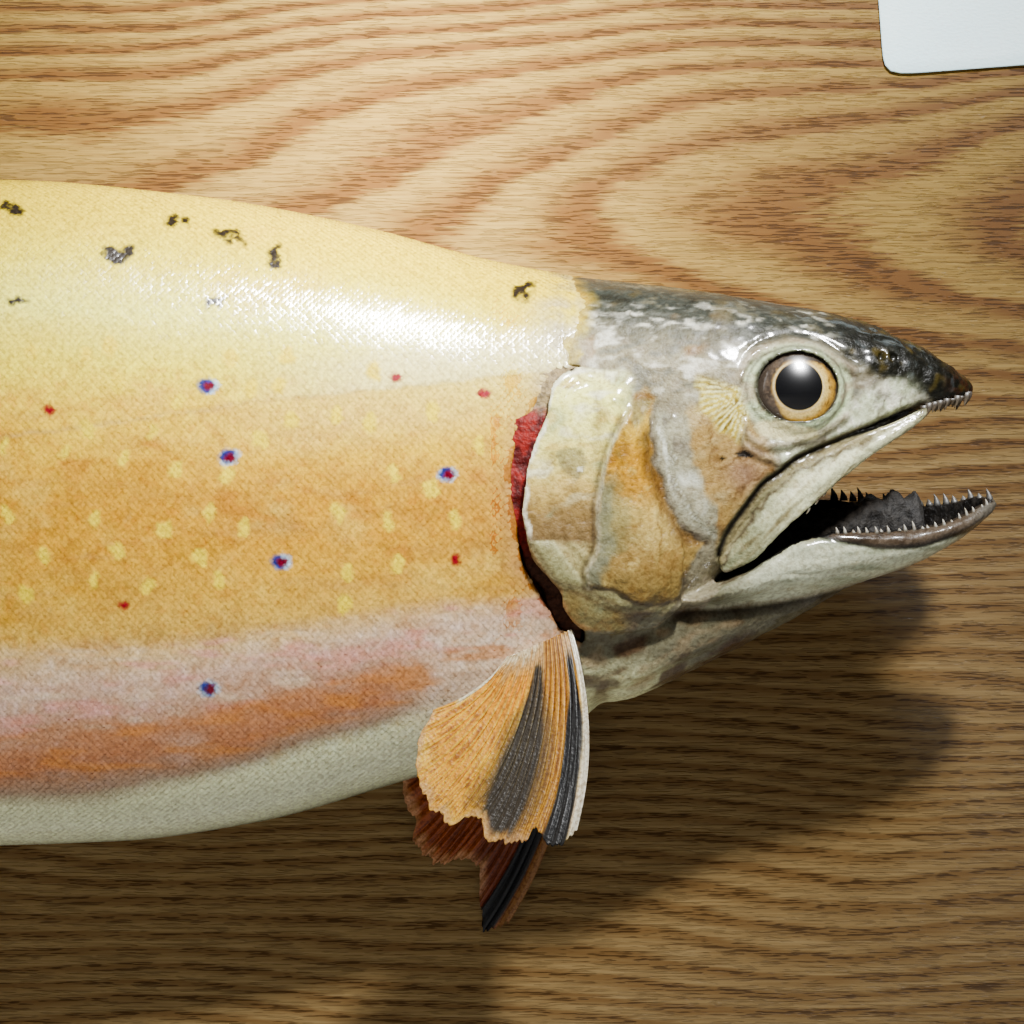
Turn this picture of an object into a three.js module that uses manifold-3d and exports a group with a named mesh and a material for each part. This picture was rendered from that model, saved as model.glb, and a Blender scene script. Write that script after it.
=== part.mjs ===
// A life-size mounted brook trout on an oak wall board.
//
// Units are millimetres and +Z is up. The board's back face lies in the plane y = 0, with the
// origin at its centre, and the fish stands on the front of the board, toward -Y, head at +X.
//
// The fish is described in its own coordinates: u runs from the tip of the snout to the tail,
// w runs sideways from the middle plane of the fish toward its right flank, and z is height.
// The middle plane bends: head and tail stand farther off the board than the belly, whose
// left flank is seated flat against the wood.

import * as THREE from 'three';
import { mergeGeometries, mergeVertices } from 'three/addons/utils/BufferGeometryUtils.js';
import Module from 'manifold-3d';

const wasm = await Module();
wasm.setup();

// ---------------------------------------------------------------- driving sizes

const GAP = 0.3;                    // clearance between two pieces that touch

const BOARD = { width: 700, height: 300, thick: 18, edge: 2.5, corner: 5 };
const LABEL = { width: 63.5, height: 38.1, thick: 0.6, corner: 4, tilt: 4.3, x: 283.1, z: 120.9 };

const SNOUT_X = 266.7;              // board x of the tip of the snout
const HEAD_END = 84;                // where the head block meets the trunk
const TRUNK_MIDDLE = 196;           // cut between the two lengths of the trunk
const TRUNK_END = 318;              // cut between the trunk and the tail stem
const TAIL_BASE = 452;              // where the tail fin grows out of the stem
const TAIL_TIP = 530;               // the farthest point of the tail fin
const SEAT = GAP;                   // the seated flank stops this far above the wood

const EYE = { u: 39, z: 26.1, radius: 9.2, depth: 4.8, sink: 1.7 };
const JAW = { tip: -5.5, end: 60, wall: 2.6, floor: 3.4, tilt: 0.28 };
const TONGUE = { front: 10.6, end: 42, half: 4.6 };
const MAXILLA = { thick: 2.0, stand: 0.3 };
const COVER = { thick: 1.6, stand: 0.4 };
const GILL_DEPTH = 8;               // how deep the gill slit goes below the flank

// ---------------------------------------------------------------- curves

// A smooth curve through a few [station, value] knots that never overshoots them.
function curve(...knots) {
  const last = knots.length - 1;
  const slope = knots.slice(1).map(([x, y], i) => (y - knots[i][1]) / (x - knots[i][0]));
  const tangent = knots.map((_, i) => {
    if (i === 0) return slope[0];
    if (i === last) return slope[last - 1];
    const before = slope[i - 1];
    const after = slope[i];
    return before * after <= 0 ? 0 : (2 * before * after) / (before + after);
  });
  return (x) => {
    if (x <= knots[0][0]) return knots[0][1];
    if (x >= knots[last][0]) return knots[last][1];
    const i = knots.findIndex((knot) => knot[0] > x) - 1;
    const span = knots[i + 1][0] - knots[i][0];
    const t = (x - knots[i][0]) / span;
    const t2 = t * t;
    const t3 = t2 * t;
    return (2 * t3 - 3 * t2 + 1) * knots[i][1] + (t3 - 2 * t2 + t) * span * tangent[i]
      + (3 * t2 - 2 * t3) * knots[i + 1][1] + (t3 - t2) * span * tangent[i + 1];
  };
}

// Height of the fish's middle plane above the board's face.
const spine = curve([-10, 57], [0, 56], [40, 52], [90, 44], [130, 38], [180, 34.5],
  [230, 33], [300, 33.5], [360, 37], [420, 44], [480, 52], [560, 63]);

// Back and belly lines, the half width, and the fullness of the upper and lower section.
const back = curve([0, 27.3], [1.5, 29.2], [6.8, 33.1], [15.3, 37.6], [26, 41.8], [36.7, 44.2],
  [58, 48], [84, 51.3], [101, 54.5], [134, 63.3], [167, 69.4], [212, 73.2], [250, 70.5],
  [290, 61.5], [330, 47.5], [370, 34.5], [400, 27.5], [425, 25], [455, 26.5]);
const belly = curve([27, -16.2], [36.7, -22.4], [58, -33.1], [82, -44.8], [101, -51.9],
  [128, -60.6], [154, -68], [185, -72.4], [225, -73.6], [260, -72], [300, -64], [335, -52],
  [370, -38.5], [400, -30], [425, -26.5], [455, -27.5]);
const half = curve([0, 1.4], [2, 5], [6, 8.6], [10, 11], [20, 15.4], [37, 20.4], [55, 25.4],
  [70, 27.6], [84, 28.8], [105, 30.5], [140, 33.5], [190, 35.2], [235, 35], [285, 31],
  [330, 24], [380, 15.5], [420, 10], [455, 6.5]);
const roundTop = curve([0, 2.2], [30, 2.5], [70, 2.4], [110, 2.05], [455, 2]);
const roundBottom = curve([0, 2.4], [8, 3.6], [40, 3.4], [60, 2.6], [84, 2.25], [455, 2.2]);

// Underside of the head: the line of the upper lip, then down the cheek to the throat.
const lip = curve([0, 24.6], [3, 23.6], [10.5, 21.6], [22, 14.5], [31, 9], [40, 1.5], [47, -5.5],
  [53, -13], [60, -22], [70, -33], [84, -45.7]);

// Lower jaw: underside, rim and half width.
const jawUnder = curve([-5.5, 1.2], [-3.8, -0.8], [-0.4, -3.6], [8, -9.2], [16.6, -12.9],
  [26.6, -15.9], [37, -18.3], [51, -20.3], [61, -20.8]);
const jawRim = curve([-5.5, 2.6], [-2, 2.4], [3, 0.6], [10, -0.6], [20, -0.6], [30, -0.2],
  [38, -1.6], [48, -7.5], [60, -12.5]);
const jawHalf = curve([-5.5, 0.8], [-3.5, 3.6], [0, 6.2], [6, 9], [14, 11.6], [26, 14.6],
  [42, 17.6], [60, 20.2]);

// From fish coordinates to the board's own frame.
const place = (u, w, z) => new THREE.Vector3(SNOUT_X - u, -(BOARD.thick + spine(u) + w), z);

// ---------------------------------------------------------------- closed meshes

const steps = (from, to, count) =>
  Array.from({ length: count + 1 }, (_, i) => from + ((to - from) * i) / count);

// One closed geometry from a list of vertices and faces, with its faces turned outward.
function closedGeometry(points, faces) {
  let volume = 0;
  for (const [a, b, c] of faces) {
    volume += points[a].dot(new THREE.Vector3().crossVectors(points[b], points[c]));
  }
  const turned = volume < 0 ? faces.map(([a, b, c]) => [a, c, b]) : faces;
  const geometry = new THREE.BufferGeometry();
  const flat = points.flatMap((p) => [p.x, p.y, p.z]);
  geometry.setAttribute('position', new THREE.Float32BufferAttribute(flat, 3));
  geometry.setIndex(turned.flat());
  return geometry;
}

// A skin over rings of equally many points, closed with a fan at each end.
function loft(rings) {
  const count = rings[0].length;
  const points = rings.flat();
  const faces = [];
  for (let r = 0; r + 1 < rings.length; r += 1) {
    for (let k = 0; k < count; k += 1) {
      const a = r * count + k;
      const b = r * count + ((k + 1) % count);
      faces.push([a, b, b + count], [a, b + count, a + count]);
    }
  }
  for (const [ring, first, flip] of [[rings[0], 0, true],
    [rings.at(-1), (rings.length - 1) * count, false]]) {
    const centre = points.length;
    points.push(ring.reduce((sum, p) => sum.add(p), new THREE.Vector3()).divideScalar(count));
    for (let k = 0; k < count; k += 1) {
      const a = first + k;
      const b = first + ((k + 1) % count);
      faces.push(flip ? [centre, b, a] : [centre, a, b]);
    }
  }
  return closedGeometry(points, faces);
}

// A thin curved plate between two grids of points, near(i, j) and far(i, j).
function plate(columns, rows, near, far) {
  const points = [];
  const faces = [];
  const index = (side, i, j) => side * (columns + 1) * (rows + 1) + i * (rows + 1) + j;
  for (const side of [near, far]) {
    for (let i = 0; i <= columns; i += 1) {
      for (let j = 0; j <= rows; j += 1) points.push(side(i / columns, j / rows));
    }
  }
  for (let i = 0; i < columns; i += 1) {
    for (let j = 0; j < rows; j += 1) {
      const [a, b, c, d] = [index(0, i, j), index(0, i + 1, j), index(0, i + 1, j + 1),
        index(0, i, j + 1)];
      const shift = (columns + 1) * (rows + 1);
      faces.push([a, b, c], [a, c, d]);
      faces.push([a + shift, c + shift, b + shift], [a + shift, d + shift, c + shift]);
    }
  }
  const rim = [];
  for (let i = 0; i < columns; i += 1) rim.push([i, 0]);
  for (let j = 0; j < rows; j += 1) rim.push([columns, j]);
  for (let i = columns; i > 0; i -= 1) rim.push([i, rows]);
  for (let j = rows; j > 0; j -= 1) rim.push([0, j]);
  rim.forEach(([i, j], k) => {
    const [p, q] = rim[(k + 1) % rim.length];
    const [a, b, c, d] = [index(0, i, j), index(0, p, q), index(1, p, q), index(1, i, j)];
    faces.push([b, a, d], [b, d, c]);
  });
  return closedGeometry(points, faces);
}

// ---------------------------------------------------------------- joins and cuts

function solid(geometry) {
  const bare = geometry.clone();
  bare.deleteAttribute('normal');
  bare.deleteAttribute('uv');
  const merged = mergeVertices(bare, 1e-4);
  return new wasm.Manifold(new wasm.Mesh({
    numProp: 3,
    vertProperties: Float32Array.from(merged.attributes.position.array),
    triVerts: Uint32Array.from(merged.index.array),
  }));
}

function geometryOf(body) {
  const pieces = body.decompose();
  const biggest = pieces.reduce((a, b) => (a.volume() > b.volume() ? a : b));
  const mesh = biggest.getMesh();
  const geometry = new THREE.BufferGeometry();
  geometry.setAttribute('position', new THREE.BufferAttribute(mesh.vertProperties, 3));
  geometry.setIndex(new THREE.BufferAttribute(mesh.triVerts, 1));
  return geometry;
}

const join = (...bodies) => bodies.reduce((all, body) => all.add(body));

// ---------------------------------------------------------------- shapes in fish coordinates

// A ring of the body at station u: an upper and a lower half superellipse.
function ring(u, { wide, top, bottom, fullTop, fullBottom, level = 0.5, sides = 24, tilt = 0 }) {
  const middle = bottom + (top - bottom) * level;
  return steps(0, 2 * Math.PI, sides).slice(0, -1).map((angle) => {
    const across = Math.cos(angle);
    const up = Math.sin(angle);
    const power = 2 / (up > 0 ? fullTop : fullBottom);
    const w = wide * Math.sign(across) * Math.abs(across) ** power;
    const reach = up > 0 ? top - middle : middle - bottom;
    const z = middle + reach * Math.sign(up) * Math.abs(up) ** power;
    return place(u, w, z - tilt * w * ((z - bottom) / (top - bottom)));
  });
}

// The body between two stations. `grow` makes it larger all round, to cut its neighbours.
function body(from, to, count, { grow = 0, under = belly, sides = 24, spread = 0, bend = 1 } = {}) {
  return solid(loft(steps(0, 1, count).map((t) => {
    const u = from + (to - from) * t ** bend;
    const wider = typeof spread === 'function' ? spread(u) : spread;
    return ring(u, {
      wide: half(u) + grow + wider,
      top: back(u) + grow,
      bottom: under(u) - grow,
      fullTop: roundTop(u),
      fullBottom: roundBottom(u),
      sides,
    });
  })));
}

// Everything inside an outline in the u-z plane, from w = near to w = far.
function slab(outline, near, far) {
  const rows = outline.map(([u, z]) => [u, z]);
  return solid(loft([near, far].map((w) => rows.map(([u, z]) =>
    new THREE.Vector3(SNOUT_X - u, -(BOARD.thick + w), z)))));
}

// A row of backward-leaning teeth along a path(t), as one solid.
function teeth(count, path, { base = 0.75, length = 1.6, lean = 0.35, up = 1, sides = 4 }) {
  const cones = steps(0, 1, count - 1).map((t, k) => {
    const foot = path(t);
    const tall = length * (0.75 + 0.4 * Math.abs(Math.sin(k * 2.4)));
    const cone = new THREE.ConeGeometry(base, tall + 1.2, sides);
    cone.translate(0, (tall + 1.2) / 2 - 1.2, 0);
    const direction = new THREE.Vector3(-lean, 0, up).normalize();
    cone.applyQuaternion(new THREE.Quaternion().setFromUnitVectors(
      new THREE.Vector3(0, 1, 0), direction));
    cone.translate(foot.x, foot.y, foot.z);
    return solid(cone);
  });
  return join(...cones);
}

// A fin: rays fan out from a root line, each with its own length, into a tapering plate.
// Angles are in degrees, 0 toward the tail and 90 straight up: those of the first and last
// rays, or a curve along the root.
function fin({ from, to, angles, length, thick = [1.8, 0.7], side, curl = 0, columns = 9,
  rows = 4 }) {
  const lean = typeof angles === 'function' ? angles : curve([0, angles[0]], [1, angles[1]]);
  const at = (s, t, offset) => {
    const reach = length(s) * t;
    const angle = THREE.MathUtils.degToRad(lean(s) + curl * t);
    const u = from[0] + (to[0] - from[0]) * s + reach * Math.cos(angle);
    const z = from[1] + (to[1] - from[1]) * s + reach * Math.sin(angle);
    const thickness = thick[0] + (thick[1] - thick[0]) * t;
    return place(u, side(s, t, reach) + offset * thickness, z);
  };
  return solid(plate(columns, rows, (s, t) => at(s, t, 0.5), (s, t) => at(s, t, -0.5)));
}

// ---------------------------------------------------------------- the wooden board

function roundedRectangle(width, height, corner) {
  const shape = new THREE.Shape();
  const [x, z] = [width / 2, height / 2];
  shape.moveTo(-x + corner, -z);
  shape.lineTo(x - corner, -z);
  shape.absarc(x - corner, -z + corner, corner, -Math.PI / 2, 0);
  shape.lineTo(x, z - corner);
  shape.absarc(x - corner, z - corner, corner, 0, Math.PI / 2);
  shape.lineTo(-x + corner, z);
  shape.absarc(-x + corner, z - corner, corner, Math.PI / 2, Math.PI);
  shape.lineTo(-x, -z + corner);
  shape.absarc(-x + corner, -z + corner, corner, Math.PI, Math.PI * 1.5);
  return shape;
}

// Extrudes a shape drawn in x and z from y = back forward, toward -Y.
function forward(shape, depth, backY, options = {}) {
  const geometry = new THREE.ExtrudeGeometry(shape, {
    depth, bevelEnabled: false, curveSegments: 2, ...options,
  });
  geometry.rotateX(Math.PI / 2);
  geometry.translate(0, backY, 0);
  return geometry;
}

function boxAt(width, depth, height, x, y, z) {
  return new THREE.BoxGeometry(width, depth, height).translate(x, y, z);
}

// A pin along y: its profile is [radius, y] pairs from the back to the front.
function turned(profile, x, z, segments = 10) {
  const points = profile.map(([radius, y]) => new THREE.Vector2(radius, y)).reverse();
  return new THREE.LatheGeometry(points, segments).translate(x, 0, z);
}

const boardBlank = solid(forward(
  roundedRectangle(BOARD.width - 2 * BOARD.edge, BOARD.height - 2 * BOARD.edge, BOARD.corner),
  BOARD.thick - 2 * BOARD.edge, -BOARD.edge,
  { bevelEnabled: true, bevelThickness: BOARD.edge, bevelSize: BOARD.edge, bevelSegments: 2,
    curveSegments: 3 }));

// Two screws come through the board from behind and hold the fish by its seated flank.
const MOUNT_SCREWS = [[SNOUT_X - 170, 8], [SNOUT_X - 262, 2]];
const screwProfile = (grow) => [[0, -1 + grow], [5 + grow, -1 + grow], [5 + grow, -1.6],
  [2.2 + grow, -4.4 - grow], [2.2 + grow, -32 - grow], [0, -34 - 2 * grow]];
const screwHole = [[0, 1], [5.3, 1], [5.3, -1.9], [2.5, -4.7], [2.5, -32.3], [0, -34.8]];

const board = MOUNT_SCREWS.reduce((wood, [x, z]) =>
  wood.subtract(solid(turned(screwHole, x, z))), boardBlank);

const label = solid(forward(roundedRectangle(LABEL.width, LABEL.height, LABEL.corner), LABEL.thick, 0)
  .rotateY(THREE.MathUtils.degToRad(-LABEL.tilt))
  .translate(LABEL.x, -BOARD.thick - GAP, LABEL.z));

// ---------------------------------------------------------------- the fish

// All of the fish lies in front of this plane, just clear of the wood.
const behindSeat = solid(boxAt(2000, 200, 600, 0, -BOARD.thick - SEAT + 100, 0));

const rightAndLeft = [['right', 1], ['left', -1]];
const eyeSide = half(EYE.u) - EYE.sink;

const eyeBall = (side, grow) => {
  const globe = new THREE.SphereGeometry(1, 14, 8);
  globe.rotateX(Math.PI / 2);
  globe.scale(EYE.radius + grow, EYE.depth + grow, EYE.radius + grow);
  const centre = place(EYE.u, side * eyeSide, EYE.z);
  return solid(globe.translate(centre.x, centre.y, centre.z));
};

// Lower jaw: a trough that narrows to the chin, its left rim standing higher than its right.
function jawShell(grow) {
  return solid(loft(steps(0, 1, 12).map((t) => {
    const u = JAW.tip - grow + (JAW.end + grow - JAW.tip + grow) * t ** 1.35;
    return ring(u, {
      wide: jawHalf(u) + grow,
      top: jawRim(u) + grow,
      bottom: jawUnder(u) - grow,
      fullTop: 5,
      fullBottom: 2.2,
      level: 0.7,
      sides: 18,
      tilt: JAW.tilt,
    });
  })));
}

const jawTrough = solid(loft(steps(-2.6, 56, 8).map((u) => ring(u, {
  wide: Math.max(jawHalf(u) - JAW.wall, 0.8),
  top: jawRim(u) + 8,
  bottom: jawUnder(u) + JAW.floor,
  fullTop: 6,
  fullBottom: 2.6,
  level: 0.5,
  sides: 14,
}))));

const jawRow = (side) => (t) => {
  const u = -4 + 33 * t;
  const w = side * (jawHalf(u) - JAW.wall * 0.5);
  return place(u, w, jawRim(u) - JAW.tilt * w - 0.2);
};

// Upper lip row, along the front edge of the upper jaw.
const lipRow = (side) => (t) => {
  const u = 1.2 + 12 * t;
  return place(u, side * (half(u) - 1.6), lip(u) + 0.3);
};

const skull = body(0, HEAD_END, 14, { under: lip, bend: 1.35 });
const skullGrown = body(-GAP, HEAD_END + GAP, 14, { under: lip, bend: 1.35, grow: GAP });

// Maxilla: the bony strap of the upper jaw, from the snout back past the corner of the mouth.
const maxillaLine = curve([10, 20.6], [17, 17.4], [23, 14.4], [32, 8.8], [37.5, 4.8], [42, 1.4],
  [45, -1.4], [48.6, -5.2], [53.4, -9.4]);
const maxillaHigh = curve([9, 0.8], [15, 1.3], [23, 2.2], [32, 3.5], [42, 4.4], [47, 4],
  [52, 2.9], [54.4, 1.6]);
const side = (u, z) => {
  const middle = (back(u) + lip(u)) / 2;
  const reach = (back(u) - lip(u)) / 2;
  const power = z > middle ? roundTop(u) : roundBottom(u);
  const inside = 1 - Math.min(Math.abs(z - middle) / reach, 0.995) ** power;
  return half(u) * inside ** (1 / power);
};
function maxilla(sign, grow) {
  return solid(loft(steps(8.6 - grow, 54.4 + grow, 10).map((u) => {
    const slope = (maxillaLine(u + 0.5) - maxillaLine(u - 0.5));
    const length = Math.hypot(1, slope);
    const high = maxillaHigh(u) + grow;
    const thick = MAXILLA.thick / 2 + grow;
    const seat = side(u, Math.max(maxillaLine(u), lip(u) + 4)) + MAXILLA.stand + MAXILLA.thick / 2;
    return steps(0, 2 * Math.PI, 8).slice(0, -1).map((angle) => {
      const along = high * Math.sin(angle);
      return place(u - (slope / length) * along, sign * (seat + thick * Math.cos(angle)),
        maxillaLine(u) + along / length);
    });
  })));
}

// The gill cover: a shell over the side of the head, with a free, rounded rear edge.
const COVER_TOP = 30.8;
const COVER_LOW = -25.8;
const coverRear = curve([COVER_LOW, 77], [-24, 84.8], [-17.5, 88], [-10.7, 93.6], [-4, 96],
  [3, 96.3], [10, 95.2], [16.5, 93.2], [23.3, 91], [28, 89], [COVER_TOP, 85]);
const coverFront = curve([COVER_LOW, 71], [-19, 63], [-6, 61.5], [8, 66], [20, 68],
  [COVER_TOP, 72]);
const slit = curve([-27, 86], [-22, 92], [-15, 97], [-9, 99.5], [0, 100.2], [12, 99.4],
  [25, 98.4], [31.5, 88]);
const coverFlare = curve([60, 0.2], [70, 0.9], [84, 1.9], [98, 3.2]);

const coverOutline = (grow) => [
  ...steps(COVER_LOW - grow, COVER_TOP + grow, 9).map((z) => [coverRear(z) + grow, z]),
  ...steps(COVER_TOP + grow, COVER_LOW - grow, 5).map((z) => [coverFront(z) - grow, z])];
const slitOutline = (grow) => [
  ...steps(-27 - grow, 31.5 + grow, 8).map((z) => [slit(z) + grow, z]),
  ...steps(31.5 + grow, -27 - grow, 4).map((z) => [HEAD_END - grow, z])];

const shell = (spread, grow) => body(58, 104, 7,
  { spread: (u) => coverFlare(u) + spread, grow, sides: 30 });
const middleOf = 44;                // spine height near the gill covers
const sideRange = (sign, inner, outer) => (sign > 0
  ? [middleOf + inner, middleOf + outer]
  : [middleOf - outer, middleOf - inner]);

function gillCover(sign, grow) {
  const [near, far] = sideRange(sign, 4, 60);
  return shell(COVER.stand + COVER.thick, grow)
    .subtract(shell(COVER.stand - 2 * grow, grow))
    .intersect(slab(coverOutline(grow), near, far));
}

// The gill slit is cut out of the flank, and the gill filaments fill it a little below the skin.
function gillRoom(sign, inner, outer, grow) {
  const [near, far] = sideRange(sign, 4, 60);
  return body(80, 104, 4, { spread: outer, sides: 24 })
    .subtract(body(79, 105, 4, { spread: inner, grow: -GAP, sides: 24 }))
    .intersect(slab(slitOutline(grow), near, far));
}

const jawSolid = jawShell(0).subtract(jawTrough);
const jawGrown = jawShell(GAP);
const coversGrown = join(...rightAndLeft.map(([, sign]) => gillCover(sign, GAP)));
const eyesGrown = join(...rightAndLeft.map(([, sign]) => eyeBall(sign, GAP)));
const maxillasGrown = join(...rightAndLeft.map(([, sign]) => maxilla(sign, GAP)));

const head = skull.subtract(jawGrown).subtract(coversGrown).subtract(eyesGrown)
  .subtract(maxillasGrown)
  .add(teeth(6, lipRow(1), { up: -1, length: 1.9 }))
  .add(teeth(6, lipRow(-1), { up: -1, length: 1.9 }));

const lowerJaw = jawSolid.subtract(maxillasGrown)
  .add(teeth(8, jawRow(1), { length: 1.5 }))
  .add(teeth(8, jawRow(-1), { length: 1.5 }));

const tongueLow = (u) => jawUnder(u) + JAW.floor + 0.6;
const tongueTop = curve([10.6, 2.5], [12.5, 5.2], [17, 5.4], [20, 3.8], [26, 2.2], [42, -2]);
const tongue = solid(loft(steps(TONGUE.front, TONGUE.end, 7).map((u) => ring(u, {
  wide: TONGUE.half + (u - TONGUE.front) * 0.09,
  top: tongueTop(u),
  bottom: tongueLow(u),
  fullTop: 2.4,
  fullBottom: 2.4,
  sides: 12,
})))).subtract(jawSolid).add(teeth(4, (t) => place(13 + 9 * t, 0, tongueTop(13 + 9 * t)),
  { length: 1.1, base: 0.55 }));

// The throat: gill membranes and isthmus between the lower jaw and the belly.
const throatHalf = curve([27.5, 3], [36, 8.5], [50, 14], [66, 19], [84, 22]);
const throat = solid(loft(steps(27.5, HEAD_END - GAP, 8).map((u) => ring(u, {
  wide: throatHalf(u),
  top: jawUnder(u) + 6,
  bottom: belly(u),
  fullTop: 2.4,
  fullBottom: 2.3,
  sides: 16,
})))).subtract(jawGrown).subtract(skullGrown).subtract(coversGrown);

// The body behind the head, in three lengths.
const screwHoles = join(...MOUNT_SCREWS.map(([x, z]) => solid(turned(screwHole, x, z))));
const gillRooms = join(...rightAndLeft.map(([, sign]) => gillRoom(sign, -GILL_DEPTH, 8, 0)));
const stretch = (from, to, count, options) => body(from, to, count, options)
  .subtract(behindSeat).subtract(screwHoles);
const trunkFront = stretch(HEAD_END + GAP, TRUNK_MIDDLE, 8).subtract(gillRooms)
  .subtract(coversGrown);
const trunkRear = stretch(TRUNK_MIDDLE + GAP, TRUNK_END, 7);
const tailStem = stretch(TRUNK_END + GAP, TAIL_BASE, 9);
const bodyGrown = body(HEAD_END - GAP, TAIL_BASE + GAP, 22, { grow: 2 * GAP });

const gills = (sign) => gillRoom(sign, -GILL_DEPTH + 2 * GAP, -1.8, -GAP).subtract(coversGrown);

// Fins. The rays of each start inside the body and are trimmed to its surface.
const FINS = {
  dorsal_fin: {
    from: [214, 68], to: [284, 58], angles: [66, 32], curl: -10,
    length: curve([0, 34], [0.16, 61], [0.35, 57], [0.7, 42], [1, 32]),
    side: (s, t) => 2.5 * Math.sin(t * 2.2) * (0.4 + s), thick: [2.4, 0.8],
  },
  adipose_fin: {
    from: [368, 30], to: [380, 27], angles: [56, 24], curl: -18, columns: 5, rows: 4,
    length: curve([0, 20], [0.5, 25], [1, 21]), side: () => 0, thick: [2.6, 1.2],
  },
  caudal_fin: {
    from: [447, 24], to: [447, -25], angles: [27, -27], columns: 12,
    length: curve([0, 87], [0.2, 81], [0.5, 74], [0.8, 81], [1, 87]),
    side: (s, t) => 1.6 * Math.sin(s * 9) * t, thick: [4, 0.8],
  },
  anal_fin: {
    from: [326, -49], to: [374, -33], angles: [-72, -34], curl: 8,
    length: curve([0, 40], [0.18, 60], [0.4, 52], [0.75, 36], [1, 26]),
    side: (s, t) => 1.5 * Math.sin(t * 2.6), thick: [2.2, 0.8],
  },
  pelvic_fin_right: {
    from: [246, -66], to: [260, -66], angles: [-58, -26], curl: 6, columns: 8,
    length: curve([0, 40], [0.2, 52], [0.6, 44], [1, 28]),
    side: (s, t, reach) => 17 + reach * 0.3, thick: [2.4, 0.8],
  },
  pelvic_fin_left: {
    from: [246, -66], to: [260, -66], angles: [-62, -30], curl: 6, columns: 8,
    length: curve([0, 40], [0.2, 52], [0.6, 44], [1, 28]),
    side: (s, t, reach) => -15 - reach * 0.26, thick: [2.4, 0.8],
  },
  pectoral_fin_right: {
    from: [86, -25], to: [99.5, -31], curl: 16, columns: 12,
    angles: curve([0, -107], [0.3, -96.5], [0.5, -88], [0.65, -80], [0.8, -70], [0.9, -60],
      [1, -50]),
    length: curve([0, 43], [0.1, 44], [0.3, 43.5], [0.5, 42.5], [0.65, 41], [0.8, 36.5],
      [0.9, 29], [1, 20.5]),
    side: (s, t, reach) => 26 + reach * (0.42 - 0.2 * s), thick: [2.6, 0.8],
  },
  pectoral_fin_left: {
    from: [86, -27], to: [100, -31], curl: 20, columns: 11,
    angles: curve([0, -98.5], [0.1, -95.5], [0.35, -93.5], [0.5, -88.5], [0.75, -83.5],
      [0.9, -79], [1, -71.8]),
    length: curve([0, 70], [0.08, 71.5], [0.2, 65], [0.35, 59], [0.5, 57.5], [0.75, 53],
      [0.9, 47.8], [1, 40.7]),
    side: (s, t, reach) => -25.5 - reach * 0.2 - 1.5 * s, thick: [2.6, 0.8],
  },
};

// ---------------------------------------------------------------- the finished group

const LOOKS = {
  oak: { color: 0xc79a5c, roughness: 0.45 },
  paper: { color: 0xe4ecf0, roughness: 0.7 },
  steel: { color: 0xb8b8b4, roughness: 0.35, metalness: 1 },
  back: { color: 0x8c8f76, roughness: 0.35 },
  flank: { color: 0xd8a55c, roughness: 0.35 },
  bone: { color: 0xd6d0b4, roughness: 0.35 },
  pearl: { color: 0xcfc193, roughness: 0.3 },
  mouth: { color: 0x2f2c28, roughness: 0.4 },
  gill: { color: 0x9c2b22, roughness: 0.45 },
  glass: { color: 0x1c1a14, roughness: 0.05 },
  fin: { color: 0xc98a3e, roughness: 0.4 },
};

const group = new THREE.Group();
group.name = 'mounted_brook_trout';

function add(name, bodySolid, look) {
  const material = new THREE.MeshStandardMaterial({ name: look, metalness: 0, ...LOOKS[look] });
  const mesh = new THREE.Mesh(geometryOf(bodySolid), material);
  mesh.name = name;
  group.add(mesh);
}

add('board', board, 'oak');
add('label_blank', label, 'paper');
MOUNT_SCREWS.forEach(([x, z], k) => add(`mount_screw_${k + 1}`,
  solid(turned(screwProfile(0), x, z)), 'steel'));

add('head', head, 'back');
add('lower_jaw', lowerJaw, 'bone');
add('tongue', tongue, 'mouth');
add('throat', throat, 'bone');
for (const [name, sign] of rightAndLeft) {
  add(`maxilla_${name}`, maxilla(sign, 0), 'bone');
  add(`gill_cover_${name}`, gillCover(sign, 0), 'pearl');
  add(`gills_${name}`, gills(sign), 'gill');
  add(`eye_${name}`, eyeBall(sign, 0), 'glass');
}
add('trunk_front', trunkFront, 'flank');
add('trunk_rear', trunkRear, 'flank');
add('tail_stem', tailStem, 'flank');
for (const [name, sizes] of Object.entries(FINS)) {
  add(name, fin(sizes).subtract(bodyGrown).subtract(coversGrown).subtract(behindSeat), 'fin');
}

export default group;
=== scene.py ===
# %% [markdown]
# # A mounted brook trout on an oak board
#
# A taxidermist's trout is a varnished, painted skin over a carved body, with glass eyes, real
# bony jaws and dried fins. This lesson dresses a solid model of such a mount. The solids fix
# every size and place. Here they get one continuous skin with sculpted relief, overlapping
# scales, rayed fins, teeth, eyes, and an oak board.
#
# The solids come in first.

# %% Load the solid model
import math

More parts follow.
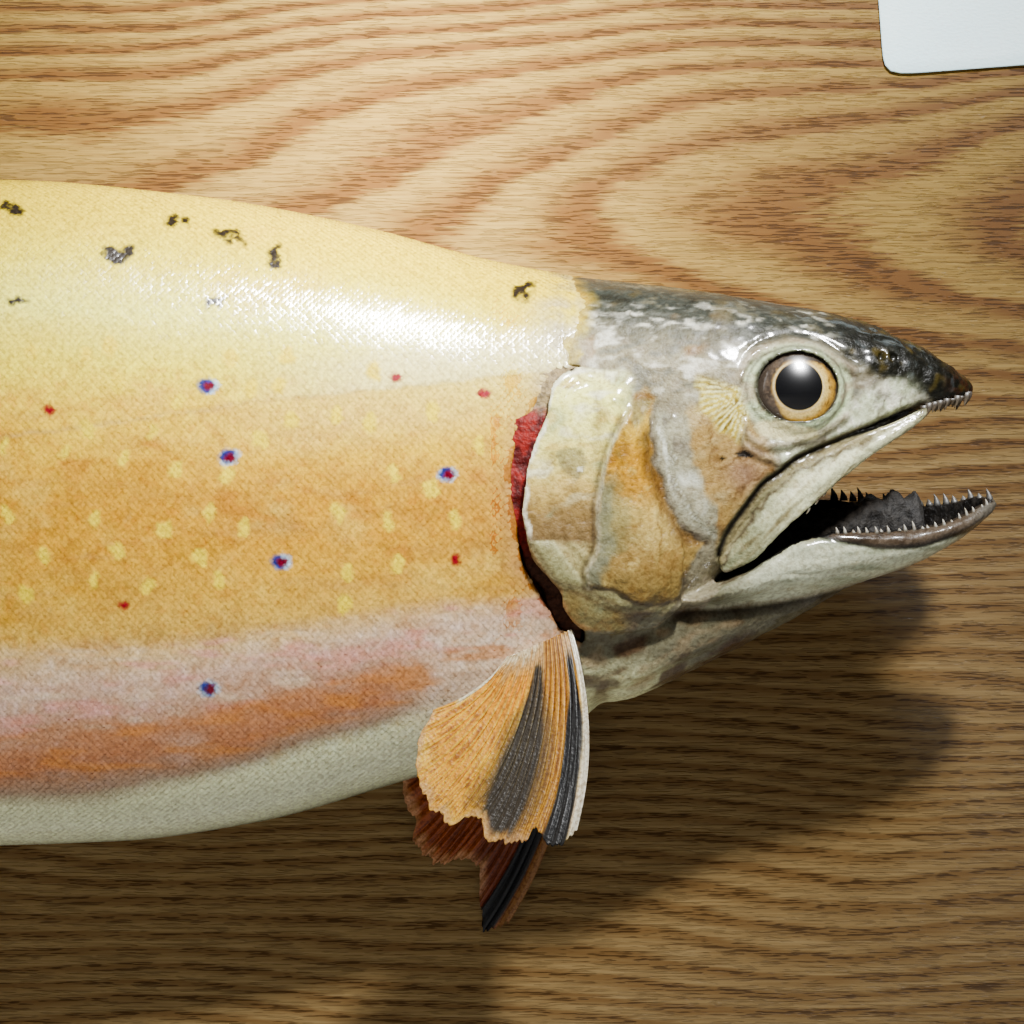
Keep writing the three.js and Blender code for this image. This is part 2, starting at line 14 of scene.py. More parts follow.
import bpy
import numpy as np
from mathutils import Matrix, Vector


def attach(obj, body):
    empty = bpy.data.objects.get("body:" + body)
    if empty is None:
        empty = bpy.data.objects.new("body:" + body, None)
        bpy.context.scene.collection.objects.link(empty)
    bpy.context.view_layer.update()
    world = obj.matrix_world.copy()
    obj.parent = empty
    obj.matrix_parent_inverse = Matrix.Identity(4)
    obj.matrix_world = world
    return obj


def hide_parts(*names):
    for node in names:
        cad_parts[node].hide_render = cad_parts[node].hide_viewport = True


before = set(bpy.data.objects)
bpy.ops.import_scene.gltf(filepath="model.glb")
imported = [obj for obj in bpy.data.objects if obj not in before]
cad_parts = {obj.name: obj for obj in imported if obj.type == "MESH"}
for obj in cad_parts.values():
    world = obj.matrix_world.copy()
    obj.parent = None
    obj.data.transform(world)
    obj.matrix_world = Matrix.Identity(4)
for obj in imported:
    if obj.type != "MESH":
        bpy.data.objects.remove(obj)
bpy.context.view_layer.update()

# %% [markdown]
# ## Fish coordinates
#
# Every piece is placed in the fish's own coordinates, in millimetres: `u` runs from the snout
# to the tail, `w` sideways from the middle of the fish toward its right flank, and `z` is
# height. The middle of the fish bends, so `spine` says how far it stands off the board. The
# body lines are smooth curves through a few stations, the same ones that shape the solids.

# %% Body lines
MM = 0.001
BOARD_THICK = 18.0
SNOUT_X = 266.7


def curve(*knots, soften=0.0):
    """A smooth line through (station, value) pairs, as a function of arrays."""
    xs = np.array([knot[0] for knot in knots], float)
    ys = np.array([knot[1] for knot in knots], float)
    slope = np.diff(ys) / np.diff(xs)
    tangent = np.empty(len(xs))
    tangent[0] = slope[0]
    tangent[-1] = slope[-1]
    same_way = slope[:-1] * slope[1:] > 0
    total = np.where(same_way, slope[:-1] + slope[1:], 1.0)
    tangent[1:-1] = np.where(same_way, 2 * slope[:-1] * slope[1:] / total, 0.0)
    fine = np.linspace(xs[0], xs[-1], 1200)
    piece = np.clip(np.searchsorted(xs, fine, side="right") - 1, 0, len(slope) - 1)
    span = xs[piece + 1] - xs[piece]
    t = (fine - xs[piece]) / span
    values = ((2 * t**3 - 3 * t**2 + 1) * ys[piece] + (t**3 - 2 * t**2 + t) * span * tangent[piece]
              + (3 * t**2 - 2 * t**3) * ys[piece + 1] + (t**3 - t**2) * span * tangent[piece + 1])
    if soften:
        reach = max(int(soften / (fine[1] - fine[0])), 1)
        weights = np.hanning(2 * reach + 3)[1:-1]
        padded = np.pad(values, reach, mode="reflect", reflect_type="odd")
        values = np.convolve(padded, weights / weights.sum(), mode="valid")
    return lambda x: np.interp(x, fine, values)


spine = curve((-10, 57), (0, 56), (40, 52), (90, 44), (130, 38), (180, 34.5), (230, 33),
              (300, 33.5), (360, 37), (420, 44), (480, 52), (560, 63), soften=12)
back = curve((0, 27.3), (1.5, 29.2), (6.8, 33.1), (15.3, 37.6), (26, 41.8), (36.7, 44.2),
             (58, 48), (84, 51.3), (101, 54.5), (134, 63.3), (167, 69.4), (212, 73.2),
             (250, 70.5), (290, 61.5), (330, 47.5), (370, 34.5), (400, 27.5), (425, 25),
             (455, 26.5), soften=3)
belly = curve((27, -16.2), (36.7, -22.4), (58, -33.1), (82, -44.8), (101, -51.9), (128, -60.6),
              (154, -68), (185, -72.4), (225, -73.6), (260, -72), (300, -64), (335, -52),
              (370, -38.5), (400, -30), (425, -26.5), (455, -27.5), soften=6)
half = curve((0, 1.4), (2, 5), (6, 8.6), (10, 11), (20, 15.4), (37, 20.4), (55, 25.4),
             (70, 27.6), (84, 28.8), (105, 30.5), (140, 33.5), (190, 35.2), (235, 35),
             (285, 31), (330, 24), (380, 15.5), (420, 10), (455, 6.5), soften=3)
round_top = curve((0, 2.2), (30, 2.5), (70, 2.4), (110, 2.05), (455, 2), soften=10)
round_low = curve((0, 2.4), (8, 3.6), (40, 3.4), (60, 2.6), (84, 2.25), (455, 2.2), soften=5)
lip = curve((0, 24.6), (3, 23.6), (10.5, 21.6), (22, 14.5), (31, 9), (40, 1.5), (47, -5.5),
            (53, -13), (60, -22), (70, -33), (84, -45.7), soften=3)
jaw_under = curve((-5.5, 1.2), (-3.8, -0.8), (-0.4, -3.6), (8, -9.2), (16.6, -12.9),
                  (26.6, -15.9), (37, -18.3), (51, -20.3), (61, -20.8), soften=2)
jaw_rim = curve((-5.5, 2.6), (-2, 2.4), (3, 0.6), (10, -0.6), (20, -0.6), (30, -0.2),
                (38, -1.6), (48, -7.5), (60, -12.5), soften=2)
jaw_half = curve((-5.5, 0.8), (-3.5, 3.6), (0, 6.2), (6, 9), (14, 11.6), (26, 14.6),
                 (42, 17.6), (60, 20.2), soften=1)


def under(u):
    """The underside of the main body: the lip line on the head, then the belly."""
    return np.where(u < 84, lip(u), belly(u))


def place(u, w, z):
    """Fish coordinates in millimetres to points of the scene in metres."""
    u, w, z = np.broadcast_arrays(u, w, z)
    return np.stack([SNOUT_X - u, -(BOARD_THICK + spine(u) + w), z], axis=-1) * MM


def fish_place(points):
    """The other way: scene points in metres to fish coordinates."""
    u = SNOUT_X - points[:, 0] / MM
    w = -points[:, 1] / MM - BOARD_THICK - spine(u)
    return u, w, points[:, 2] / MM


print("head", round(float(back(84) - belly(84)), 1), "mm deep at the gills")

# %% [markdown]
# ## Making meshes
#
# Points and faces worked out with NumPy arrays become Blender meshes through one helper. It
# also stores a colour at each point, as an attribute named `paint`: on a real mount the
# colours are brushed on by hand, and here the brush is a function of the place on the fish.

# %% Mesh helper
def make_object(name, points, faces, smooth=True, paint=None):
    """A mesh object from points in metres and faces of equal or mixed length."""
    mesh = bpy.data.meshes.new(name)
    if isinstance(faces, np.ndarray):
        mesh.vertices.add(len(points))
        mesh.vertices.foreach_set("co", np.asarray(points, np.float32).ravel())
        mesh.loops.add(faces.size)
        mesh.loops.foreach_set("vertex_index", faces.astype(np.int32).ravel())
        mesh.polygons.add(len(faces))
        starts = np.arange(0, faces.size, faces.shape[1], dtype=np.int32)
        mesh.polygons.foreach_set("loop_start", starts)
        mesh.update(calc_edges=True)
    else:
        mesh.from_pydata([tuple(p) for p in points], [], faces)
    mesh.validate()
    if smooth:
        mesh.shade_smooth()
    piece = bpy.data.objects.new(name, mesh)
    bpy.context.scene.collection.objects.link(piece)
    if paint is not None:
        store_paint(piece, paint)
    return piece


def store_paint(piece, colours):
    layer = piece.data.attributes.new("paint", "FLOAT_VECTOR", "POINT")
    layer.data.foreach_set("vector", np.asarray(colours, np.float32).ravel())


def mesh_points(piece):
    found = np.empty(len(piece.data.vertices) * 3, np.float32)
    piece.data.vertices.foreach_get("co", found)
    return found.reshape(-1, 3).astype(float)


def ring_quads(rings, spokes, flip=False):
    """Quads between closed rings of points that follow one another."""
    faces = []
    for a in range((rings - 1) * spokes):
        b = a + 1 if (a + 1) % spokes else a + 1 - spokes
        quad = (a, b, b + spokes, a + spokes)
        faces.append(quad[::-1] if flip else quad)
    return faces


# %% [markdown]
# ## A soft random pattern
#
# Blotches, dried wrinkles and frayed edges need a pattern that is random and smooth at once.
# Value noise gives each corner of a lattice a fixed random number and blends between them.

# %% Noise
def lattice_value(ix, iy, iz, seed):
    mixed = (ix * 374761393 + iy * 668265263 + iz * 2147483647 + seed * 1274126177) & 0xFFFFFFFF
    mixed = ((mixed ^ (mixed >> 13)) * 1274126177) & 0xFFFFFFFF
    return ((mixed ^ (mixed >> 16)) & 0xFFFF) / 65535.0


def noise(x, y, z=0.0, size=1.0, seed=0, octaves=1):
    """Smooth noise from -1 to 1. `size` is the distance between its blobs."""
    x, y, z = np.broadcast_arrays(np.asarray(x, float), y, z)
    total = np.zeros(x.shape)
    weight = 1.0
    scale = 1.0 / size
    for octave in range(octaves):
        places = [axis * scale + 91.7 * octave for axis in (x, y, z)]
        cells = [np.floor(p).astype(np.int64) for p in places]
        parts = [p - c for p, c in zip(places, cells)]
        fades = [p * p * (3 - 2 * p) for p in parts]
        value = np.zeros(x.shape)
        for corner in range(8):
            steps = [(corner >> k) & 1 for k in range(3)]
            share = np.ones(x.shape)
            for step, fade in zip(steps, fades):
                share = share * (fade if step else 1 - fade)
            value += share * lattice_value(*[c + s for c, s in zip(cells, steps)], seed + octave)
        total += weight * (2 * value - 1)
        weight *= 0.5
        scale *= 2.0
    return total / (2 - 2 * weight)


def ramp(value, low, high):
    """0 below `low`, 1 above `high`, and a soft step between."""
    t = np.clip((value - low) / (high - low), 0, 1)
    return t * t * (3 - 2 * t)


def near_line(u, z, points):
    """Distance from each (u, z) to a line through a few points."""
    best = np.full(np.broadcast(u, z).shape, 1e9)
    for (u0, z0), (u1, z1) in zip(points[:-1], points[1:]):
        du = u1 - u0
        dz = z1 - z0
        t = np.clip(((u - u0) * du + (z - z0) * dz) / max(du * du + dz * dz, 1e-9), 0, 1)
        best = np.minimum(best, np.hypot(u - u0 - t * du, z - z0 - t * dz))
    return best


def smooth_line(points, count=6):
    """A rounder line through the same points, by a Catmull-Rom spline."""
    p = np.array([points[0], *points, points[-1]], float)
    t = np.linspace(0, 1, count, endpoint=False)[:, None]
    parts = []
    for a, b, c, d in zip(p[:-3], p[1:-2], p[2:-1], p[3:]):
        parts.append(0.5 * (2 * b + (c - a) * t + (2 * a - 5 * b + 4 * c - d) * t**2
                            + (3 * b - a - 3 * c + d) * t**3))
    return np.vstack([*parts, p[-1:]])


# %% [markdown]
# ## The landmarks of the head
#
# The plates and folds of a trout's head are drawn once, as short lines in `u` and `z`. The
# sculpting raises or cuts along them, and the paint follows the same lines, so colour and
# relief always agree.

# %% Landmarks
EYE_U, EYE_Z = 39.0, 26.1
EYE_RADIUS, EYE_DEPTH, LENS_CURVE = 9.2, 4.8, 13.0
EYE_OUT = float(half(EYE_U)) - 1.7
EYE_OPEN_WIDE, EYE_OPEN_HIGH = 8.5, 7.3
EYE_FORWARD, EYE_UPWARD = math.radians(8), math.radians(4)

LIP_GROOVE = smooth_line([(11.5, 22.5), (16.5, 20.8), (21.9, 18.4), (26.9, 16.5), (30.9, 14.8),
                          (35.7, 12.7), (39.1, 11.0), (42.5, 8.2), (45.9, 5.9), (49.2, 1.5),
                          (52.6, -3.2), (54.3, -6.5), (55.0, -9.0)])
STRAP_EDGE = smooth_line([(55, -9), (54.1, -11.4), (52.0, -11.6), (47.8, -10.3), (45.0, -7.4),
                          (41.4, -4.6), (37.8, -1.5), (33.5, 2.7), (29.2, 7.0), (23.4, 11.6),
                          (17.8, 15.9), (13.5, 18.7), (11.3, 20.2)])
STRAP_RIDGE = smooth_line([(14, 20.6), (18.5, 19.2), (25.4, 15.2), (32.2, 10.3), (39.1, 4.8),
                           (44.4, 0.2), (49.9, -4.4), (52.6, -7.2)])
CHEEK_FOLD = smooth_line([(69.3, 19.5), (69.7, 14.3), (69.0, 10.3), (67.6, 6.3), (65.9, 1.5),
                          (64.0, -2.5), (61.3, -5.3), (57.9, -6.4)])
CHEEK_EDGE = smooth_line([(65.3, 19.6), (64.6, 14.3), (63.4, 7.6), (61.3, 2.3), (57.9, -1.9),
                          (55.2, -3.2)])
PLATE_RIDGE = smooth_line([(73.5, 25.1), (74.3, 21.1), (76.0, 17.7), (77.7, 14.3), (79.1, 10.3),
                           (80.0, 5.7), (80.8, 1.5), (80.8, -3.2), (80.8, -7.2), (81.7, -9.9),
                           (83.1, -12.6), (82.7, -16.0)])
LOBE_EDGE = smooth_line([(82.7, -16.0), (80.5, -16.2), (77.0, -16.6), (74.7, -18.3),
                         (71.4, -19.6), (67.4, -19.6), (64.0, -18.5), (62.9, -16.6),
                         (62.5, -13.9)])
LOWER_PLATE = smooth_line([(95.8, -6), (92.8, -10.5), (89.4, -15.0), (84.0, -16.7),
                           (79.3, -19.2), (72.6, -21.7), (66.7, -22.3)])
COVER_RIM = smooth_line([(80.5, 30.2), (85.2, 30.6), (87.8, 29.3), (90.1, 27.2), (90.9, 24.5),
                         (91.6, 20.0), (93.9, 14.8), (95.4, 9.9), (96.0, 5.7), (96.6, 0.0),
                         (96.0, -3.8), (95.4, -7.2), (94.1, -10.5), (90.5, -14.6),
                         (88.6, -17.3), (87.8, -20.7), (85.2, -24.0), (82.1, -25.5),
                         (77.7, -25.7), (73.0, -25.3), (68, -24.4)])
COVER_FRONT = [(63, -20), (62.5, -8), (66, 8), (69, 20), (73, 29)]
SLIT_EDGE = smooth_line([(84.5, 30.9), (88, 30.6), (90.8, 28.2), (92.6, 24.8), (94.9, 20.6),
                         (97.2, 16), (98.5, 11), (98.9, 6.8), (98.6, 2.3), (97.6, -3),
                         (97.2, -7), (96.4, -11), (93.6, -16), (91.2, -20), (88.4, -25),
                         (84, -27.6)])
BROW_FOLD = smooth_line([(50.6, 28), (49.8, 31.2), (47, 33.9), (43.1, 35.4), (39.1, 36.0),
                         (35.7, 35.6), (32.2, 34.0), (28.2, 31.2), (26.4, 30.2)])
UNDER_EYE = [smooth_line([(50.5, 16.6), (49.9, 14.3), (46.5, 12.2), (43.1, 11.0)]),
             smooth_line([(49.6, 19), (49.2, 16.4), (45.9, 14.3), (41.8, 14.3), (36.9, 15.6),
                          (32.2, 17.7), (28, 20.4)])]
JAW_LIP = smooth_line([(40, -5.8), (36.5, -4.6), (32.2, -5.5), (28.6, -6.3), (23.7, -7.2),
                       (20.9, -7.6), (15.0, -7.6), (10.6, -7.0), (6.2, -5.5), (1.5, -4.1),
                       (-1.8, -2.6), (-3.7, -1.3)])
NOSTRILS = [(20.4, 33.0), (17.9, 32.9)]


def inside_outline(u, z, points):
    """Distance to a closed outline in u and z: positive inside it, negative outside."""
    p = np.array(points, float)
    if np.hypot(*(p[0] - p[-1])) > 1e-6:
        p = np.vstack([p, p[:1]])
    crossings = np.zeros(np.broadcast(u, z).shape, int)
    for (u0, z0), (u1, z1) in zip(p[:-1], p[1:]):
        spans = (z0 > z) != (z1 > z)
        height = z1 - z0 if z1 != z0 else 1e-9
        crossings += spans & (u < u0 + (z - z0) / height * (u1 - u0))
    away = near_line(u, z, p)
    return np.where(crossings % 2 == 1, away, -away)


def bump_line(u, z, points, width):
    """A soft bell along a line: 1 on it, fading over about `width` mm."""
    return np.exp(-(near_line(u, z, points) / width) ** 2)


PLATE = [*CHEEK_FOLD[::-1], (69, 24), (71, 27), *PLATE_RIDGE, *LOBE_EDGE]
LOWER_COVER = [*LOWER_PLATE, (64, -19), *LOBE_EDGE[::-1], *PLATE_RIDGE[::-1][:1], (90, -6)]
GILL_COVER = [*COVER_RIM, *COVER_FRONT]
GILL_SLIT = [(82, 29), *SLIT_EDGE, (82, -26)]
STRAP = [*LIP_GROOVE, *STRAP_EDGE]
CHEEK = [*CHEEK_EDGE, *LIP_GROOVE[::-1][:30], (44, 12), (52, 25)]

# %% [markdown]
# ## Sculpting the head as a field of distances
#
# A real head is one skin over skull, jaws and gill covers, with no joins. Separate shells
# would show their seams. So the head is described as a field: a number at every point of a
# fine lattice that tells how far the skin is, negative inside. Fields join softly with a
# smooth minimum, and a crease is only a small number added along a line.

# %% Distance fields
CELL = 0.5
NECK = 104.0
INSET = 0.3

axis_u = np.arange(-8.0, NECK + 2, CELL)
axis_w = np.arange(-37.0, 37.5, CELL)
axis_z = np.arange(-61.0, 61.0, CELL)


def join_soft(a, b, soft):
    """The union of two fields, with a fillet of about `soft` mm."""
    mix = np.clip(0.5 + 0.5 * (b - a) / soft, 0, 1)
    return b + (a - b) * mix - soft * mix * (1 - mix)


def keep_both(a, b, soft):
    """Where two fields overlap, with a rounded rim."""
    return -join_soft(-a, -b, soft)


def cut_soft(a, b, soft):
    """Field `a` with field `b` cut out of it."""
    return -join_soft(-a, b, soft)


def tube(w, z, wide, top, low, full_top, full_low, level=0.5):
    """A field round a body whose section is two half superellipses.

    It also returns how squarely the surface faces sideways, from 0 to 1.
    """
    middle = low + (top - low) * level
    high = z > middle
    reach = np.where(high, top - middle, middle - low)
    power = np.where(high, full_top, full_low)
    a = np.maximum(np.abs(w) / wide, 1e-3)
    b = np.maximum(np.abs(z - middle) / reach, 1e-3)
    a_less = np.where(high, a ** (full_top - 1), a ** (full_low - 1))
    b_less = b ** (power - 1)
    total = a_less * a + b_less * b
    root = total ** (1 / power)
    slope_w = a_less / wide
    steep = np.hypot(slope_w, b_less / reach)
    return (root - 1) * total / (root * steep), slope_w / steep


def capped(field, start, end, u, soft=1.0):
    """A tube ended at two stations, with rounded rims."""
    return keep_both(field, np.maximum(start - u, u - end), soft)


print("lattice", len(axis_u), "x", len(axis_w), "x", len(axis_z))

# %% [markdown]
# ## Relief of the head
#
# This map holds what stands proud of the smooth head or sinks into it, in millimetres: the
# ring round the eye, the folds below it, the plates of the cheek with their free edges. It
# depends only on `u` and `z`, so both sides of the head get the same plan.

# %% Relief map
def eye_radius(u, z, wide=8.5, high=7.25):
    """1 on the rim of the eye opening, more outside it."""
    return np.hypot((u - EYE_U) / wide, (z - EYE_Z) / high)


def head_relief(u, z):
    eye = eye_radius(u, z)
    total = 0.5 * np.exp(-np.maximum(eye - 1.0, 0) / 0.28) * ramp(eye, 0.8, 1.0)
    total -= 0.35 * np.exp(-((eye - 1.3) / 0.06) ** 2)
    outside_eye = ramp(eye, 1.1, 1.3)
    total += 0.9 * bump_line(u, z, BROW_FOLD, 0.8) * ramp(eye, 1.05, 1.2)
    total -= 0.6 * bump_line(u, z, BROW_FOLD + np.array([0, 1.7]), 0.7)
    for fold in UNDER_EYE:
        total += 0.75 * bump_line(u, z, fold, 0.75) * outside_eye
        total -= 0.5 * bump_line(u, z, fold - np.array([0, 1.7]), 0.6)
    total -= 1.5 * bump_line(u, z, LIP_GROOVE, 0.65)
    total += 0.5 * bump_line(u, z, LIP_GROOVE + np.array([-0.5, 1.7]), 0.9)
    cheek = inside_outline(u, z, CHEEK)
    total += 0.6 * ramp(cheek, -1.5, 4) * ramp(26 - z, 0, 10)
    total += 0.45 * bump_line(u, z, CHEEK_EDGE, 1.1)
    total -= 0.9 * bump_line(u, z, CHEEK_FOLD, 1.0)
    plate = inside_outline(u, z, PLATE)
    total += 0.75 * ramp(plate, -0.3, 0.6) * ramp(u, 66, 76) * ramp(28 - z, 0, 8)
    total += 1.0 * pillow(plate + 0.1, 4.5) * ramp(-z, 2, 14)
    total -= 0.5 * bump_line(u, z, PLATE_RIDGE[6:] + np.array([0.9, 0]), 0.6)
    total += 0.25 * bump_line(u, z, PLATE_RIDGE[6:] - np.array([0.6, 0]), 0.6)
    total += 0.6 * pillow(inside_outline(u, z, LOWER_COVER) + 0.1, 2.0)
    total += 0.3 * bump_line(u, z, [(95.4, -0.2), (90.7, -3.4), (85.9, -5.7)], 1.3)
    total -= 0.2 * bump_line(u, z, [(95.4, -7.0), (88.6, -5.9), (82.3, -4.8)], 0.8)
    total += 0.35 * bump_line(u, z, [(48, 40.5), (58, 41), (70, 41), (84, 41.5)], 1.5)
    temple = smooth_line([(56, 32.5), (64, 33), (74, 31.5), (84, 32)])
    total += 0.4 * bump_line(u, z, temple, 3.0)
    dents = noise(u, z, size=7.0, seed=31, octaves=2) * ramp(u, 50, 60)
    return total + 0.35 * dents


def pillow(inside, reach):
    """A rounded edge: 0 at the outline, full height `reach` mm inside it."""
    t = np.clip(inside / reach, 0, 1)
    return np.sqrt(t * (2 - t))


def jaw_relief(u, z):
    total = 0.55 * bump_line(u, z, JAW_LIP + np.array([0, 1.6]), 1.3)
    total -= 0.55 * bump_line(u, z, JAW_LIP, 0.6)
    crease = smooth_line([(56, -12.5), (49.9, -11.2), (45.9, -8.4), (41.8, -5.5), (36.3, -4.9)])
    total -= 0.9 * bump_line(u, z, crease, 0.8)
    total += 0.5 * bump_line(u, z, crease - np.array([0, 2.2]), 1.4)
    return total + 0.16 * noise(u * 0.18, z, size=1.2, seed=21)


def wrinkles(u, w, z):
    """Fine random relief: the dried skin shrinks into lumps and creases."""
    snout = ramp(30 - u, 0, 10) * ramp(z, 22, 27)
    lumps = noise(u, w, z, size=3.2, seed=5, octaves=2)
    fine = noise(u, w * 0.5, z, size=1.6, seed=9, octaves=2)
    rough = noise(u * 0.5, w, z, size=4.5, seed=12)
    return (0.10 + 0.42 * snout) * lumps + (0.07 + 0.08 * snout) * fine + 0.12 * rough


flat_u, flat_z = np.meshgrid(axis_u, axis_z, indexing="ij")
relief_map = head_relief(flat_u, flat_z)
jaw_relief_map = jaw_relief(flat_u, flat_z)
slit_map = inside_outline(flat_u, flat_z, GILL_SLIT)
cover_map = inside_outline(flat_u, flat_z, GILL_COVER)
print("relief from", round(float(relief_map.min()), 2), "to", round(float(relief_map.max()), 2))

# %% [markdown]
# ## Skull, jaws, throat and gill covers
#
# Each part of the head is a tube field. The lower jaw is a trough, hollow above its floor.
# The upper jaw carries a long flat bone, the maxilla, that starts near the snout and ends
# behind the corner of the mouth. The gill covers are thin shells that stand off the body and
# end in a free edge behind, over the slit where the gills show.

# %% Head field
strap_line = curve((8, 22.6), (11, 21.2), (17, 17.6), (23, 14.4), (32, 8.8), (37.5, 4.8),
                   (42, 1.4), (45, -1.4), (48.6, -5.2), (53.4, -9.4), (56, -11.6))
strap_high = curve((9, 0.9), (15, 1.4), (23, 2.3), (32, 3.5), (42, 4.4), (47, 4.1), (52, 3.1),
                   (55, 1.7))
throat_half = curve((27.5, 2.5), (36, 7), (50, 11.5), (66, 17), (84, 22))
cover_flare = curve((60, 0.2), (70, 0.9), (84, 1.9), (98, 3.2))


def side_width(u, z):
    """How far the smooth flank lies from the middle of the fish at this height."""
    low = under(u)
    middle = (back(u) + low) / 2
    power = np.where(z > middle, round_top(u), round_low(u))
    b = np.minimum(np.abs(z - middle) / ((back(u) - low) / 2), 0.995)
    return half(u) * (1 - b**power) ** (1 / power)


def upper_head(u, w, z, relief):
    skull, side = tube(w, z, half(u) - INSET, back(u) - INSET, under(u) + INSET,
                       round_top(u), round_low(u))
    skull = skull - relief * side**1.5
    palate, _ = tube(w, z, np.maximum(half(u) - 3.4, 0.3), lip(u) + 4.5, lip(u) - 9, 2.2,
                     3.0)
    skull = cut_soft(skull, capped(palate, 11.0, 52.0, u), 0.8)
    return capped(skull, 0.1, NECK, u, 1.2)


def maxilla(u, side, z):
    slope = strap_line(u + 0.5) - strap_line(u - 0.5)
    across = (z - strap_line(u)) / np.sqrt(1 + slope**2)
    high = strap_high(u)
    seat = side_width(u, np.maximum(strap_line(u), lip(u) + 4)) + 0.7
    ridge = 0.5 * np.exp(-((across + 0.25 * high) / (0.3 * high)) ** 2)
    thick = 1.2 + ridge - 0.25 * np.exp(-((across - 0.35 * high) / (0.22 * high)) ** 2)
    thick = np.where(side > seat, thick, 2.4)
    strap = (np.abs(across / high) ** 3 + np.abs((side - seat) / thick) ** 3) ** (1 / 3) - 1
    return capped(strap * np.minimum(high, 1.6), 10.5, 54.6, u, 1.2)


def lower_jaw(u, w, z, relief):
    rim = jaw_rim(u)
    floor = jaw_under(u)
    lean = 0.28 * w / (rim - floor)
    level = (z - lean * floor) / np.clip(1 - lean, 0.3, 3)
    jaw, side = tube(w, level, jaw_half(u) - 0.1, rim, floor + 0.1, 5.0, 2.2, level=0.7)
    jaw = capped(jaw - relief * side, -5.4, 70.0, u, 1.6)
    trough, _ = tube(w, z, np.maximum(jaw_half(u) - 2.5, 0.6), rim + 8, floor + 3.3, 6.0,
                     2.6)
    return cut_soft(jaw, capped(trough, -2.8, 56.0, u, 0.8), 0.7)


def throat(u, w, z):
    low = belly(u) + INSET + 3.0 * ramp(u, 70, 84)
    bag, side = tube(w, z, throat_half(u), jaw_under(u) + 6, low, 2.4, 2.3)
    pleats = np.sin(np.abs(w) * 1.1 - u * 0.22 + 1.2 * np.sin(u * 0.09)) * ramp(u, 40, 55)
    bag = bag - (0.35 * pleats + 0.2) * (1 - side**2) * ramp(-u, -84, -74)
    return capped(bag, 26.5, 86.0, u, 2.5)


def gill_cover(u, side, z, flank, facing, relief, inside):
    rise = cover_flare(u) + 1.7
    free_from = 70 + 11 * ramp(z, 14, 27)
    free = ramp(u, free_from, free_from + 9)
    rise = rise * (1 - (1 - ramp(inside, -1, 7)) * (1 - free))
    outer = rise + relief * facing
    thick = 9.0 - 7.9 * ramp(u, 78, 85) + 0.5 * ramp(inside, 0, 4)
    sheet = np.maximum(flank - outer, rise - thick - flank)
    sheet = keep_both(sheet, -inside, 0.8)
    return np.maximum(sheet, 12.0 - side)


def eye_frame(u, side, z):
    """Coordinates round the eye: toward the tail, up, and out along its axis."""
    du = u - EYE_U
    dw = side - EYE_OUT
    dz = z - EYE_Z
    out = dw * math.cos(EYE_FORWARD) - du * math.sin(EYE_FORWARD)
    along = du * math.cos(EYE_FORWARD) + dw * math.sin(EYE_FORWARD)
    up = dz * math.cos(EYE_UPWARD) - out * math.sin(EYE_UPWARD)
    return along, up, out * math.cos(EYE_UPWARD) + dz * math.sin(EYE_UPWARD)


def eye_socket(u, side, z):
    along, up, out = eye_frame(u, side, z)
    ball = np.hypot(np.hypot(along, up) / (EYE_RADIUS + 0.2), out / (EYE_DEPTH + 0.2))
    opening = (np.hypot(along / EYE_OPEN_WIDE, up / EYE_OPEN_HIGH) - 1) * 7.8
    return np.minimum((ball - 1) * 5.0, np.maximum(opening, -out))


def eye_lid(u, side, z):
    along, up, out = eye_frame(u, side, z)
    return (np.hypot(np.hypot(along, up) / 10.3, out / (EYE_DEPTH + 1.0)) - 1) * 5.5


def head_field(u, w, z, relief, jaw_detail, slit, cover):
    side = np.abs(w)
    skin = join_soft(upper_head(u, w, z, relief), throat(u, w, z), 1.2)
    skin = join_soft(skin, lower_jaw(u, w, z, jaw_detail), 2.2)
    skin = join_soft(skin, maxilla(u, side, z), 0.45)
    skin = join_soft(skin, eye_lid(u, side, z), 1.6)
    flank, facing = tube(w, z, half(u) - INSET, back(u) - INSET,
                         belly(np.maximum(u, 58.0)) + INSET, round_top(u), round_low(u))
    room = np.maximum(np.maximum(-slit, -(flank + 7.6)), np.maximum(83.4 - u, 9.0 - side))
    skin = cut_soft(skin, room, 0.5)
    skin = join_soft(skin, gill_cover(u, side, z, flank, facing, relief, cover), 0.5)
    skin = cut_soft(skin, eye_socket(u, side, z), 0.35)
    for nose_u, nose_z in NOSTRILS:
        depth = side - side_width(nose_u, nose_z)
        pit = np.hypot(np.hypot(u - nose_u, z - nose_z), depth * 0.6) - 0.95
        skin = cut_soft(skin, pit, 0.4)
    return skin


def slabs(count):
    """The lattice is worked through in slabs, to keep the arrays small."""
    edges = np.linspace(0, len(axis_u), count + 1).astype(int)
    return [slice(a, b) for a, b in zip(edges[:-1], edges[1:])]


def flat_slab(flat, part):
    return flat[part][:, None, :]


parts = []
for part in slabs(12):
    u = axis_u[part][:, None, None]
    w = axis_w[None, :, None]
    z = axis_z[None, None, :]
    maps = [flat_slab(m, part) for m in (relief_map, jaw_relief_map, slit_map, cover_map)]
    parts.append(head_field(u, w, z, *maps).astype(np.float32))
field = np.concatenate(parts)
print("field holds", round(float((field < 0).sum()) * CELL**3 / 1000), "cubic cm of head")

# %% [markdown]
# ## From field to skin
#
# A surface net turns the field into a mesh. Every lattice cell that the skin passes through
# gets one point, at the average of the places where the skin cuts the cell's edges. Every
# lattice edge that the skin cuts joins the four cells round it into one quad. Quads, unlike
# the triangles of marching cubes, stay even and shade smoothly.

